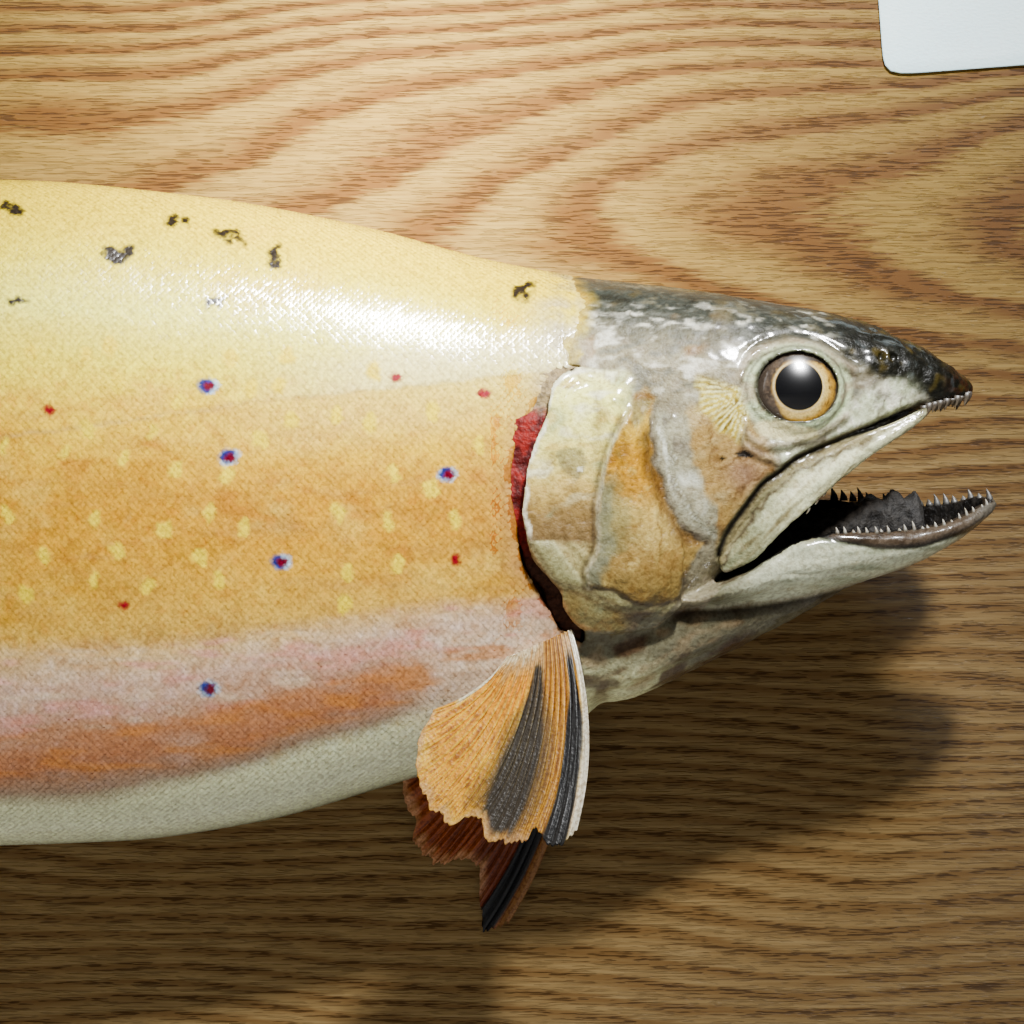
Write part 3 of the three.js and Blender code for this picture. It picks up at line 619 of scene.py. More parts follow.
# %% Surface net
def surface_net(field, axes):
    inside = field < 0
    count = np.zeros(tuple(n - 1 for n in field.shape), np.int8)
    corner = {}
    for i in (0, 1):
        for j in (0, 1):
            for k in (0, 1):
                cut = tuple(slice(s, n - 1 + s) for s, n in zip((i, j, k), field.shape))
                corner[i, j, k] = cut
                count += inside[cut]
    active = (count > 0) & (count < 8)
    number = np.full(active.shape, -1, np.int64)
    number[active] = np.arange(int(active.sum()))
    values = {key: field[cut][active] for key, cut in corner.items()}
    total = np.zeros((int(active.sum()), 3))
    hits = np.zeros(int(active.sum()))
    for start in corner:
        for along in range(3):
            if start[along]:
                continue
            end = list(start)
            end[along] = 1
            a = values[start]
            b = values[tuple(end)]
            crosses = (a < 0) != (b < 0)
            t = np.where(crosses, a / np.where(crosses, a - b, 1), 0)
            spot = np.tile(np.array(start, float), (len(a), 1))
            spot[:, along] = t
            total += spot * crosses[:, None]
            hits += crosses
    cells = np.argwhere(active)
    step = np.array([axis[1] - axis[0] for axis in axes])
    origin = np.array([axis[0] for axis in axes])
    points = origin + (cells + total / hits[:, None]) * step
    quads = []
    for along in range(3):
        one, two = [axis for axis in range(3) if axis != along]
        low = [slice(1, n - 1) for n in field.shape]
        high = list(low)
        low[along] = slice(0, field.shape[along] - 1)
        high[along] = slice(1, field.shape[along])
        a = inside[tuple(low)]
        b = inside[tuple(high)]
        spots = np.argwhere(a != b)
        outward = a[a != b]
        offset = [1, 1, 1]
        offset[along] = 0
        spots = spots + np.array(offset)
        ring = []
        for back_one, back_two in ((0, 0), (1, 0), (1, 1), (0, 1)):
            cell = spots.copy()
            cell[:, one] -= back_one
            cell[:, two] -= back_two
            ring.append(number[tuple(cell.T)])
        quad = np.stack(ring, axis=1)
        flip = outward if along == 1 else ~outward
        quad[flip] = quad[flip][:, ::-1]
        quads.append(quad)
    return points, np.concatenate(quads)


def relax(points, quads, rounds, pull=0.5, push=-0.52):
    """Smooths a mesh without shrinking it: a pull to the neighbours, then a push back."""
    edges = np.concatenate([quads[:, [k, (k + 1) % 4]] for k in range(4)])
    degree = np.bincount(edges.ravel(), minlength=len(points))[:, None]
    for _ in range(rounds):
        for share in (pull, push):
            mean = np.stack([np.bincount(edges[:, 0], points[edges[:, 1], k], len(points))
                             + np.bincount(edges[:, 1], points[edges[:, 0], k], len(points))
                             for k in range(3)], axis=1) / degree
            points = points + share * (mean - points)
    return points


net_points, net_quads = surface_net(field, (axis_u, axis_w, axis_z))
del field
net_points = relax(net_points, net_quads, 2)
print("head skin:", len(net_points), "points")

# %% [markdown]
# ## Trunk and tail
#
# Behind the head the body is a simple lofted tube of rings. Its left flank is pressed flat
# where it is seated on the board, so those points are pushed back in front of the wood. The
# tube starts a little inside the neck, and a Boolean union makes one skin of the two.

# %% One skin
def body_ring(u, count, inset=INSET):
    """One ring of the body: w and z round the section, from the back over the right flank."""
    angle = np.linspace(0, 2 * np.pi, count, endpoint=False)
    across = np.sin(angle)
    up = np.cos(angle)
    middle = (back(u) + belly(u)) / 2
    reach = (back(u) - belly(u)) / 2 - inset
    power = 2 / np.where(up > 0, round_top(u), round_low(u))
    w = (half(u) - inset) * np.sign(across) * np.abs(across) ** power
    z = middle + reach * np.sign(up) * np.abs(up) ** power
    return np.maximum(w, 0.45 - spine(u)), z


def even_ring(u, count, inset=INSET):
    """The same ring with evenly spaced points."""
    w, z = body_ring(u, 1440, inset)
    w = np.append(w, w[0])
    z = np.append(z, z[0])
    along = np.append(0, np.cumsum(np.hypot(np.diff(w), np.diff(z))))
    stops = np.linspace(0, along[-1], count, endpoint=False)
    return np.interp(stops, along, w), np.interp(stops, along, z)


RING_POINTS = 220
TAIL_END = 451.5
ring_stations = np.concatenate([np.arange(NECK - 5, TAIL_END, 1.5), [TAIL_END]])
rings = []
for u in ring_stations:
    w, z = even_ring(u, RING_POINTS, INSET + 0.25 * (1 - ramp(u, NECK - 1, NECK + 3)))
    rings.append(place(np.full(RING_POINTS, u), w, z))
ring_total = len(rings)
tube_points = np.concatenate([*rings, [rings[0].mean(axis=0)], [rings[-1].mean(axis=0)]])
across = np.arange(RING_POINTS)
beside = (across + 1) % RING_POINTS
tube_faces = []
for r in range(ring_total - 1):
    a = r * RING_POINTS
    tube_faces += list(zip(a + across, a + RING_POINTS + across, a + RING_POINTS + beside,
                           a + beside))
last = (ring_total - 1) * RING_POINTS
tube_faces += list(zip(beside, np.full(RING_POINTS, len(tube_points) - 2), across))
tube_faces += list(zip(last + across, np.full(RING_POINTS, len(tube_points) - 1), last + beside))

skin = make_object("trout_skin", place(*net_points.T), net_quads)
trunk = make_object("trunk_tube", tube_points, [tuple(map(int, f)) for f in tube_faces])
union = skin.modifiers.new("one skin", "BOOLEAN")
union.operation = "UNION"
union.solver = "MANIFOLD"
union.object = trunk
ready = skin.evaluated_get(bpy.context.evaluated_depsgraph_get())
joined = bpy.data.meshes.new_from_object(ready)
skin.modifiers.clear()
skin.data = joined
bpy.data.objects.remove(trunk)
skin.data.shade_smooth()
print("skin:", len(skin.data.polygons), "faces")

# %% [markdown]
# ## Dried relief
#
# Skin that dries over bone shrinks into lumps and creases, and the thin plates of the gill
# cover show the rings of their growth. This relief is finer than the net of the field, so
# each point of the skin is moved a little along its own normal instead.

# %% Dried relief
def growth_rings(u, z):
    inside = inside_outline(u, z, GILL_COVER)
    wavy = inside * 2.3 + 1.4 * noise(u, z, size=6, seed=21, octaves=2)
    return np.sin(wavy) * ramp(inside, 0.6, 2.0) * (1 - ramp(inside, 9, 16))


def jaw_streaks(u, w, z):
    streaks = noise(u * 0.12, w * 0.5, z, size=1.0, seed=22, octaves=2)
    return streaks * (z < lip(np.maximum(u, 0)) - 1)


skin_points = mesh_points(skin)
skin_u, skin_w, skin_z = fish_place(skin_points)
normals = np.empty(len(skin_points) * 3, np.float32)
skin.data.vertices.foreach_get("normal", normals)
on_head = 1 - ramp(skin_u, 86, 100)
relief = 1.25 * wrinkles(skin_u, skin_w, skin_z)
relief = relief + 0.10 * growth_rings(skin_u, skin_z)
relief = relief + 0.14 * jaw_streaks(skin_u, skin_w, skin_z) * (skin_u < 62)
relief = relief * on_head * ramp(eye_radius(skin_u, skin_z), 1.0, 1.25)
skin_points = skin_points + normals.reshape(-1, 3) * (relief * MM)[:, None]
skin.data.vertices.foreach_set("co", skin_points.astype(np.float32).ravel())
skin.data.update()
print("relief from", round(float(relief.min()), 2), "to", round(float(relief.max()), 2), "mm")

# %% [markdown]
# ## The painted skin
#
# After drying, a fish skin is dull brown, so the painter lays the living colours back on: a
# yellow back, a tan flank, a red stripe over a pale belly, and dabs for the spots. The bands
# follow the body: `level` is 0 on the belly and 1 on the back at every station. The colours
# are linear values of red, green and blue.

# %% Colour helpers
def over(base, colour, mask):
    """Lays a colour over another one, where the mask is 1."""
    mask = np.clip(mask, 0, 1)[:, None]
    return base * (1 - mask) + np.asarray(colour, float) * mask


class Coats:
    """Paint on a set of points, laid coat over coat."""

    def __init__(self, colour):
        self.colour = colour

    def __call__(self, tone, mask):
        self.colour = over(self.colour, tone, mask)


def bands(level, stops):
    """A colour that runs through the stops, each a level with its red, green and blue."""
    places = [stop[0] for stop in stops]
    return np.stack([np.interp(level, places, [stop[k] for stop in stops]) for k in (1, 2, 3)],
                    axis=1)


def window(value, low, high, soft):
    """1 between `low` and `high`, fading to 0 over `soft` outside them."""
    return ramp(value, low - soft, low) * (1 - ramp(value, high, high + soft))


def dab(u, z, place_uz, wide, high, turn=0.0, seed=0, ragged=0.35):
    """A brush dab: a soft-edged, slightly ragged oval."""
    du = u - place_uz[0]
    dz = z - place_uz[1]
    c = math.cos(math.radians(turn))
    s = math.sin(math.radians(turn))
    reach = np.hypot((du * c + dz * s) / wide, (dz * c - du * s) / high)
    reach = reach + ragged * noise(u, z, size=0.5 * (wide + high) * 0.8, seed=seed + 40)
    return 1 - ramp(reach, 0.85, 1.15)


def veins(u, w, z, size, seed, thin=0.05):
    """Thin branching lines: 1 on a line, 0 away from it."""
    return np.exp(-(noise(u, w, z, size=size, seed=seed, octaves=3) / thin) ** 2)


# The paler stop at level 0.80 is partly the back's yellow, partly a painted highlight where the lamp's
# gleam falls on the upper flank.
BODY_BANDS = [
    (0.00, 0.88, 0.92, 0.62), (0.055, 0.84, 0.87, 0.52), (0.08, 0.37, 0.25, 0.155),
    (0.115, 0.48, 0.19, 0.08), (0.155, 0.53, 0.22, 0.09), (0.19, 0.60, 0.37, 0.24),
    (0.23, 0.72, 0.48, 0.34), (0.27, 0.776, 0.535, 0.26), (0.31, 0.776, 0.47, 0.06),
    (0.38, 0.776, 0.43, 0.02), (0.45, 0.755, 0.375, 0.008), (0.51, 0.72, 0.35, 0.005),
    (0.56, 0.80, 0.44, 0.01), (0.61, 0.88, 0.55, 0.01), (0.66, 0.92, 0.61, 0.015),
    (0.72, 0.96, 0.78, 0.02), (0.80, 1.0, 0.94, 0.12), (0.88, 0.91, 0.74, 0.01),
    (0.93, 0.80, 0.60, 0.003), (1.00, 0.76, 0.54, 0.003)]

# %% [markdown]
# ## Spots
#
# The near flank carries red spots, most with a blue halo, and many yellow ones. The back has
# dark wavy marks. The rest of the body gets spots from a seeded random series, kept apart
# from one another.

# %% Spots
HALO_SPOTS = [(163.1, 26.7), (158.4, 11.6), (147.4, -10.6), (162.9, -37.5), (112.2, 8.0)]
RED_SPOTS = [(123.5, 28.6), (104.6, 25.1), (196.9, 21.6), (181.0, -19.7), (110.6, -10.1)]
YELLOW_SPOTS = [
    (200.7, 33.9), (189.0, 33.3), (184.1, 35.0), (182.4, 26.9), (169.3, 23.5), (174.6, 17.0),
    (180.8, 11.4), (169.7, 8.9), (193.1, 12.9), (188.4, 17.6), (158.9, 8.0), (151.9, 15.5),
    (145.3, 19.7), (135.8, 20.1), (128.8, 18.8), (154.2, 26.3), (148.0, 26.9), (158.4, 32.4),
    (146.6, 33.0), (127.9, 29.6), (115.4, 21.1), (105.7, 13.9), (110.6, -1.5), (115.8, 5.1),
    (123.5, 8.2), (125.0, -2.1), (135.3, 0.0), (155.3, -3.2), (162.5, -0.2), (172.2, -4.0),
    (182.2, -8.5), (186.9, -1.1), (197.7, -9.3), (201.4, -17.2), (187.1, -14.4),
    (175.7, -15.7), (164.6, -9.5), (160.6, -14.6), (133.4, -12.9), (122.8, -10.8),
    (134.1, -19.3), (205.4, -0.6), (206.5, 13.8)]
BACK_MARKS = [(183.9, 55.1, 4.2, 1.9, -18), (171.8, 62.5, 1.4, 1.6, 0), (169.0, 62.9, 1.2, 1.3, 0),
              (159.1, 59.3, 2.8, 1.4, 24), (149.5, 54.4, 1.1, 2.8, 10), (162.0, 44.9, 2.2, 1.1, -15),
              (96.0, 47.3, 1.7, 2.4, 0), (206.9, 65.1, 3.0, 1.2, 30), (204.1, 45.0, 2.6, 0.8, 0)]


def scattered(count, seed, u_range, level_range, apart):
    """Seeded places on the rear flank, none closer to another than `apart` mm."""
    random = np.random.default_rng(seed)
    found = []
    for _ in range(count * 30):
        u = random.uniform(*u_range)
        level = random.uniform(*level_range)
        z = float(belly(u) + level * (back(u) - belly(u)))
        if all(math.hypot(u - a, z - b) > apart for a, b in found):
            found.append((round(u, 1), round(z, 1)))
        if len(found) == count:
            break
    return found


HALO_SPOTS += scattered(12, 3, (214, 430), (0.32, 0.66), 17)
RED_SPOTS += scattered(9, 4, (216, 440), (0.30, 0.68), 21)
YELLOW_SPOTS += scattered(62, 5, (212, 442), (0.34, 0.80), 7.5)
BACK_MARKS += [(u, z, 3.2, 1.4, 25 * math.sin(u)) for u, z in scattered(20, 6, (214, 440),
                                                                      (0.80, 0.97), 10)]
print(len(HALO_SPOTS) + len(RED_SPOTS), "red spots,", len(YELLOW_SPOTS), "yellow ones")


# %% Body colours
def paint_body(u, w, z):
    level = (z - belly(u)) / (back(u) - belly(u))
    wave = 0.016 * noise(u, w, z, size=16, seed=1, octaves=2)
    drift = np.clip((207 - u) / 85, -0.6, 1.1) * 0.06
    low_part = 1 - ramp(level, 0.2, 0.42)
    band_level = level + wave - drift * low_part
    lay = Coats(bands(band_level, BODY_BANDS))

    pale_front = (1 - ramp(u, 106, 128)) * (1 - ramp(level, 0.22, 0.34))
    lay((0.90, 0.70, 0.50), 0.95 * pale_front * ramp(level, 0.07, 0.14))
    stripe_breaks = ramp(noise(u * 0.5, z, size=7, seed=2, octaves=2), 0.05, 0.6)
    lay((0.56, 0.36, 0.25), 0.6 * stripe_breaks * window(band_level, 0.12, 0.17, 0.03))

    blot = noise(u * 0.55, w * 0.4, z, size=8, seed=3, octaves=3)
    tan = window(level, 0.36, 0.60, 0.10)
    lay((0.66, 0.33, 0.005), 0.9 * ramp(blot, 0.0, 0.5) * tan)
    lay((0.50, 0.29, 0.06), 0.55 * ramp(-blot, 0.25, 0.7) * window(level, 0.3, 0.5, 0.08))
    pale = ramp(noise(u * 0.6, w, z, size=5.0, seed=84, octaves=3), 0.1, 0.55)
    lay((0.90, 0.58, 0.06), 0.6 * pale * window(level, 0.36, 0.68, 0.05))
    pink_streak = noise(u * 0.2, w * 0.4, z, size=1.7, seed=85, octaves=3)
    rosy = window(band_level, 0.175, 0.28, 0.02)
    lay((0.80, 0.36, 0.29), 0.75 * rosy * ramp(pink_streak, 0.05, 0.5))
    lay((0.88, 0.68, 0.46), 0.65 * rosy * ramp(-pink_streak, 0.1, 0.6))
    low_red = window(band_level, 0.105, 0.165, 0.015)
    lay((0.62, 0.22, 0.03), 0.7 * low_red * ramp(pink_streak, -0.1, 0.4))
    low_edge = window(band_level, 0.08, 0.11, 0.015)
    lay((0.40, 0.24, 0.15), 0.6 * ramp(-pink_streak, 0.1, 0.5) * low_edge)
    streak = noise(u * 0.12, w * 0.3, z, size=1.6, seed=4, octaves=2)
    lay((0.52, 0.28, 0.08), 0.35 * ramp(streak, 0.1, 0.8) * window(level, 0.28, 0.62, 0.06))
    wash = noise(u * 0.6 + z * 0.3, w * 0.5, z, size=10, seed=6, octaves=2)
    lay((0.90, 0.66, 0.01), 0.65 * ramp(wash, 0.12, 0.6) * ramp(level, 0.66, 0.80))
    lay((0.80, 0.54, 0.02), 0.5 * ramp(-wash, 0.3, 0.7) * ramp(level, 0.82, 0.95))
    dirt = ramp(noise(u, w, z, size=1.3, seed=7, octaves=2), 0.35, 0.9)
    lay((0.33, 0.22, 0.11), 0.30 * dirt * window(level, 0.08, 0.5, 0.06))
    curds = noise(u, w, z, size=1.5, seed=75, octaves=3)
    coloured = window(level, 0.12, 0.70, 0.05)
    lay(lay.colour * np.array((1.16, 1.24, 1.5)), 0.8 * coloured * ramp(curds, 0.05, 0.6))
    lay(lay.colour * np.array((0.84, 0.70, 0.55)), 0.8 * coloured * ramp(-curds, 0.05, 0.6))
    stain = veins(u * 0.7, w, z, 9.0, 76, 0.09)
    lay((0.58, 0.30, 0.03), 0.4 * stain * window(level, 0.34, 0.66, 0.05))
    rust = ramp(noise(u * 0.4, w, z, size=3.5, seed=77, octaves=2), 0.3, 0.75)
    lay((0.58, 0.24, 0.01), 0.85 * rust * window(level, 0.38, 0.60, 0.05))

    line_z = np.interp(u, [90, 112, 150, 250, 455], [30.2, 27.3, 23.6, 10.0, -1.0])
    ragged_line = z - line_z + 0.7 * noise(u, z, size=3.0, seed=78, octaves=2)
    under_line = ramp(-ragged_line, -0.2, 0.5) * ramp(ragged_line, -14, -5) * (1 - ramp(u, 128, 175))
    lay((0.86, 0.60, 0.13), 0.62 * under_line)
    above_line = ramp(ragged_line, -0.1, 0.4) * (1 - ramp(ragged_line, 5, 12)) * (1 - ramp(u, 118, 165))
    lay((0.97, 0.86, 0.38), 0.75 * above_line)
    lay((0.54, 0.36, 0.12), 0.5 * np.exp(-(ragged_line / 0.4) ** 2))

    # Brown behind the gill slit, darkest at its edge: partly the skin's own tinge, partly painted shade
    # under the gill cover.
    edge_u = np.interp(z, SLIT_EDGE[::-1, 1], SLIT_EDGE[::-1, 0])
    tinge_and_shade_behind_gills = np.exp(-np.maximum(u - edge_u, 0) / 4.0) * window(z, -24, 28, 4)
    lay((0.40, 0.24, 0.13), 0.62 * tinge_and_shade_behind_gills)
    rough = noise(u, w, z, size=3.2, seed=79, octaves=3)
    collar = np.exp(-(((u - 88) / 6) ** 2)) * window(z, 27, 44, 3)
    lay((0.50, 0.43, 0.27), 0.8 * collar * ramp(rough, -0.5, 0.3))
    nape_stain = (1 - ramp(u + 3 * rough, 88, 93)) * ramp(z, 43, 49)
    lay((0.34, 0.27, 0.13), 0.75 * nape_stain * ramp(rough, -0.35, 0.3))
    return lay.colour


def paint_spots(colour, u, w, z):
    for k, (a, b) in enumerate(YELLOW_SPOTS):
        near = np.abs(u - a) + np.abs(z - b) < 9
        turn = 25 * math.sin(a * 7 + b)
        mask = dab(u[near], z[near], (a, b), 1.3 + 0.3 * math.sin(a), 1.95, turn, seed=k)
        colour[near] = over(colour[near], (1.0, 0.75, 0.0), mask)
    for k, (a, b) in enumerate(HALO_SPOTS):
        near = np.abs(u - a) + np.abs(z - b) < 9
        mask = dab(u[near], z[near], (a, b), 2.2, 1.75, 0, seed=k, ragged=0.2)
        colour[near] = over(colour[near], (0.48, 0.66, 0.88), mask)
        mask = dab(u[near], z[near], (a + 0.4, b), 1.7, 1.5, 0, seed=k + 3, ragged=0.2)
        colour[near] = over(colour[near], (0.02, 0.03, 0.24), mask)
        mask = dab(u[near], z[near], (a - 0.2, b - 0.1), 1.1, 1.1, 0, seed=k + 9, ragged=0.15)
        colour[near] = over(colour[near], (0.15, 0.0, 0.015), mask)
    for k, (a, b) in enumerate(RED_SPOTS):
        near = np.abs(u - a) + np.abs(z - b) < 9
        mask = dab(u[near], z[near], (a, b), 1.3, 1.1, 20, seed=k)
        colour[near] = over(colour[near], (0.30, 0.0, 0.01), mask)
    for k, (a, b, wide, high, turn) in enumerate(BACK_MARKS):
        near = np.abs(u - a) + np.abs(z - b) < 14
        mask = dab(u[near], z[near], (a, b), wide, high, turn, seed=k, ragged=0.75)
        speckle = ramp(noise(u[near], w[near], z[near], size=1.4, seed=8, octaves=2), -0.6, -0.1)
        colour[near] = over(colour[near], (0.02, 0.014, 0.008), mask * speckle)
    return colour


# %% [markdown]
# ## Colours of the head
#
# The head keeps more of its own dried colours: a dark crown and snout, pearly gill covers, an
# orange cheek plate, a pale jaw. Each zone is a mask made from the landmarks, so its edge
# lies exactly on the sculpted fold.

# %% Head colours
def paint_head(u, w, z):
    side = np.abs(w)
    n_large = noise(u, w, z, size=6.0, seed=11, octaves=3)
    n_mid = noise(u, w, z, size=2.4, seed=12, octaves=2)
    n_fine = noise(u, w, z, size=0.9, seed=13, octaves=2)
    true_u = u
    true_z = z
    u = true_u + 1.3 * noise(true_u, w, true_z, size=3.4, seed=71, octaves=3)
    z = true_z + 1.3 * noise(true_u, w, true_z, size=3.4, seed=72, octaves=3)
    n_curl = noise(u * 0.6, w, z, size=3.0, seed=73, octaves=3)
    lines = veins(u, w, z, 5.0, 74)
    lay = Coats(np.tile((0.50, 0.47, 0.36), (len(u), 1)))
    lay((0.58, 0.53, 0.45), 0.7 * ramp(n_mid, 0, 0.7))
    lay((0.30, 0.27, 0.20), 0.55 * ramp(n_curl, 0.15, 0.65))
    lay((0.80, 0.76, 0.66), 0.55 * ramp(-n_curl, 0.25, 0.7))

    from_top = back(u) - z
    crown = 1 - ramp(from_top + 3.0 * n_large, 5, 17)
    lay((0.135, 0.145, 0.128), crown)
    glints = noise(u * 0.5, w, z * 1.2, size=1.8, seed=86, octaves=3)
    upper_side = window(z, 26, 42, 4) * (1 - ramp(u, 80, 86))
    lay((0.32, 0.33, 0.30), 0.6 * upper_side * ramp(glints, 0.05, 0.5))
    lay((0.94, 0.94, 0.86), 0.8 * upper_side * ramp(-glints, 0.05, 0.5))
    lay((0.42, 0.28, 0.14), 0.6 * upper_side * ramp(n_large, 0.15, 0.5) * ramp(u, 52, 60))
    lay((0.33, 0.32, 0.25), 0.7 * crown * ramp(n_curl + 0.5 * n_fine, 0.05, 0.6))
    lay((0.07, 0.07, 0.055), 0.6 * crown * ramp(-n_curl, 0.1, 0.6))
    lay((0.26, 0.21, 0.09), 0.5 * crown * ramp(n_large, 0.2, 0.6))
    snout_edge = np.interp(u, [0, 10, 20, 26, 34], [20.5, 23.5, 28.5, 32, 36])
    snout = (1 - ramp(u + 3 * n_large, 26, 36)) * ramp(z + n_mid - snout_edge, -1.0, 1.0)
    lay((0.045, 0.045, 0.03), 0.92 * snout)
    lay((0.24, 0.20, 0.075), 0.75 * snout * ramp(n_mid, 0.1, 0.5))
    # Blue-grey patches on the dark snout are painted glints.
    lay((0.22, 0.25, 0.27), 0.7 * snout * ramp(-n_mid, 0.35, 0.7))
    lay((0.20, 0.085, 0.04), 0.7 * (1 - ramp(u, 0, 9)) * ramp(n_fine, -0.4, 0.4))

    above_lip = z - np.interp(u, LIP_GROOVE[:, 0], LIP_GROOVE[:, 1])
    lore = window(u, 16, 46, 5) * window(above_lip, 0.5, 7, 2) * (1 - ramp(z, 26, 30))
    lay((0.88, 0.94, 0.75), 0.9 * lore)
    # The near-white flecks on the lore are painted glints.
    lay((1.0, 1.0, 0.92), 0.75 * lore * ramp(n_fine + n_curl, -0.1, 0.5))
    lay((0.20, 0.17, 0.12), 0.55 * lore * lines)
    streaky = noise(u * 0.25 + z * 0.1, z, size=1.3, seed=82, octaves=2)
    lay((0.34, 0.31, 0.22), 0.6 * lore * ramp(streaky, 0.1, 0.6))

    cheek = ramp(inside_outline(u, z, CHEEK), -1.5, 1.5)
    lay((0.60, 0.45, 0.20), 0.9 * cheek)
    lay((0.40, 0.27, 0.12), 0.65 * cheek * ramp(n_curl, 0.0, 0.5))
    lay((0.70, 0.62, 0.40), 0.6 * cheek * ramp(-n_curl, 0.1, 0.6))
    lay((0.62, 0.47, 0.40), 0.6 * cheek * np.exp(-((u - 50) ** 2 + (z - 8) ** 2) / 16))
    lay((0.26, 0.16, 0.07), 0.5 * cheek * lines)
    fan = np.arctan2(25.5 - true_z, true_u - 48.5)
    fan_reach = np.hypot(true_u - 48.5, true_z - 25.5)
    rays = ramp(np.sin(fan * 50 + 0.9 * n_mid + 1.2 * n_large), -0.2, 0.7)
    fan_zone = window(fan_reach, 2.5, 9.5 + 2.5 * n_mid, 2.5) * window(fan, -0.1, 1.3, 0.3)
    lay((0.80, 0.68, 0.10), 0.85 * fan_zone)
    lay((1.0, 1.0, 0.66), 0.8 * fan_zone * rays)
    lay((0.24, 0.17, 0.05), 0.7 * fan_zone * (1 - rays) * ramp(n_fine + n_curl, -0.3, 0.4))

    inner = near_line(u, z, CHEEK_EDGE)
    outer = near_line(u, z, CHEEK_FOLD)
    crescent = 1 - ramp(inner / (inner + outer + 1e-6) - outer / (inner + outer + 1e-6), -0.2, 0.9)
    crescent = crescent * ramp(4.6 - np.minimum(inner, outer), 0, 1.5)
    crescent = crescent * window(z, -6, 20, 2) * window(u, 56, 69.5, 0.5)
    lay((0.58, 0.58, 0.47), 0.85 * crescent)
    strands = noise((inner - outer) * 1.1, z * 0.16, size=1.0, seed=80, octaves=2)
    lay((0.92, 0.95, 0.88), 0.8 * crescent * ramp(strands, 0.0, 0.6))
    lay((0.30, 0.27, 0.25), 0.6 * crescent * ramp(-strands, 0.2, 0.7))
    # The dark line along the cheek fold is painted shade in the crease before the plate.
    lay((0.17, 0.13, 0.10), 0.75 * bump_line(u, z, CHEEK_FOLD, 0.9) * window(z, -7, 18, 2))

    plate = inside_outline(u, z, PLATE)
    on_plate = ramp(plate, -0.4, 0.6)
    tones = bands(z + 3.0 * n_large, [
        (-24, 0.30, 0.25, 0.13), (-17, 0.44, 0.35, 0.16), (-9, 0.54, 0.41, 0.18),
        (-4, 0.66, 0.54, 0.25), (0, 0.78, 0.62, 0.26), (5, 0.64, 0.43, 0.10),
        (10, 0.74, 0.48, 0.03), (17, 0.82, 0.62, 0.10), (22, 0.66, 0.54, 0.28),
        (25, 0.50, 0.38, 0.20), (28, 0.76, 0.72, 0.50)])
    lay(tones, on_plate)
    lay((0.40, 0.25, 0.08), 0.6 * on_plate * ramp(n_curl, 0.1, 0.6))
    lay((0.97, 0.84, 0.42), 0.55 * on_plate * ramp(-n_curl - 0.3 * n_fine, 0.15, 0.6))
    lay((0.32, 0.20, 0.07), 0.4 * on_plate * lines)
    rear_edge = near_line(u, z, PLATE_RIDGE)
    strip = (1 - ramp(rear_edge + 1.2 * n_mid, 2.2, 4.6)) * on_plate * ramp(-z, -11, -3)
    lay((0.36, 0.38, 0.30), 0.85 * strip)
    lay((0.56, 0.56, 0.40), 0.5 * strip * ramp(n_curl, 0, 0.5))
    from_fold = near_line(u, z, CHEEK_FOLD) + 0.8 * n_mid
    front_shade = (1 - ramp(from_fold, 0.3, 3.6)) * window(z, -16, 16, 3) * ramp(u, 58, 62)
    lay((0.24, 0.15, 0.075), 0.75 * front_shade * on_plate)
    moss = ramp(noise(u, w, z, size=4.0, seed=87, octaves=3), 0.05, 0.5)
    lay((0.44, 0.42, 0.24), 0.6 * moss * on_plate * ramp(u + z * 0.3, 69, 74))

    cover = inside_outline(u, z, GILL_COVER)
    on_cover = ramp(cover, -0.6, 0.3) * (1 - on_plate) * ramp(u, 72, 77)
    pearl = bands(z + 2.0 * n_curl, [
        (-26, 0.32, 0.28, 0.16), (-16, 0.46, 0.43, 0.25), (-8, 0.66, 0.60, 0.36),
        (-6, 0.40, 0.31, 0.18), (0, 0.47, 0.36, 0.18), (5, 0.76, 0.62, 0.28),
        (14, 0.97, 0.92, 0.42), (24, 1.0, 1.0, 0.46), (31, 1.0, 1.0, 0.60)])
    lay(pearl, on_cover)
    cloud = noise(u, z, size=5.0, seed=14, octaves=3)
    lay((0.40, 0.30, 0.13), 0.55 * on_cover * ramp(cloud, 0.15, 0.6))
    lay((0.50, 0.58, 0.44), 0.5 * on_cover * ramp(-cloud, 0.2, 0.6))
    sheen = noise(u * 0.45 + 0.35 * z, z * 1.1, size=3.0, seed=81, octaves=3)
    lay((1.0, 1.0, 0.82), 0.75 * on_cover * ramp(sheen, 0.15, 0.5) * ramp(z, -4, 12))
    lay((0.80, 0.62, 0.22), 0.55 * on_cover * ramp(-sheen, 0.15, 0.55) * ramp(z, -10, 10))
    lay((0.36, 0.26, 0.13), 0.5 * on_cover * lines * ramp(-z, -24, -6))
    ribs = np.sin(12.0 * np.arctan2(z - 24, u - 80) * 2) * (1 - ramp(cover, 3.0, 5.0)) * ramp(z, 22, 26)
    lay((0.46, 0.36, 0.18), 0.5 * on_cover * ramp(ribs, 0.55, 0.95))
    rim_light = on_cover * (1 - ramp(cover, 0.5, 1.2)) * ramp(true_u, 80, 84)
    lay((1.0, 1.0, 0.88), 0.9 * rim_light * ramp(true_z, -10, -3))
    lay((0.62, 0.42, 0.22), 0.7 * rim_light * (1 - ramp(true_z, -10, -3)))
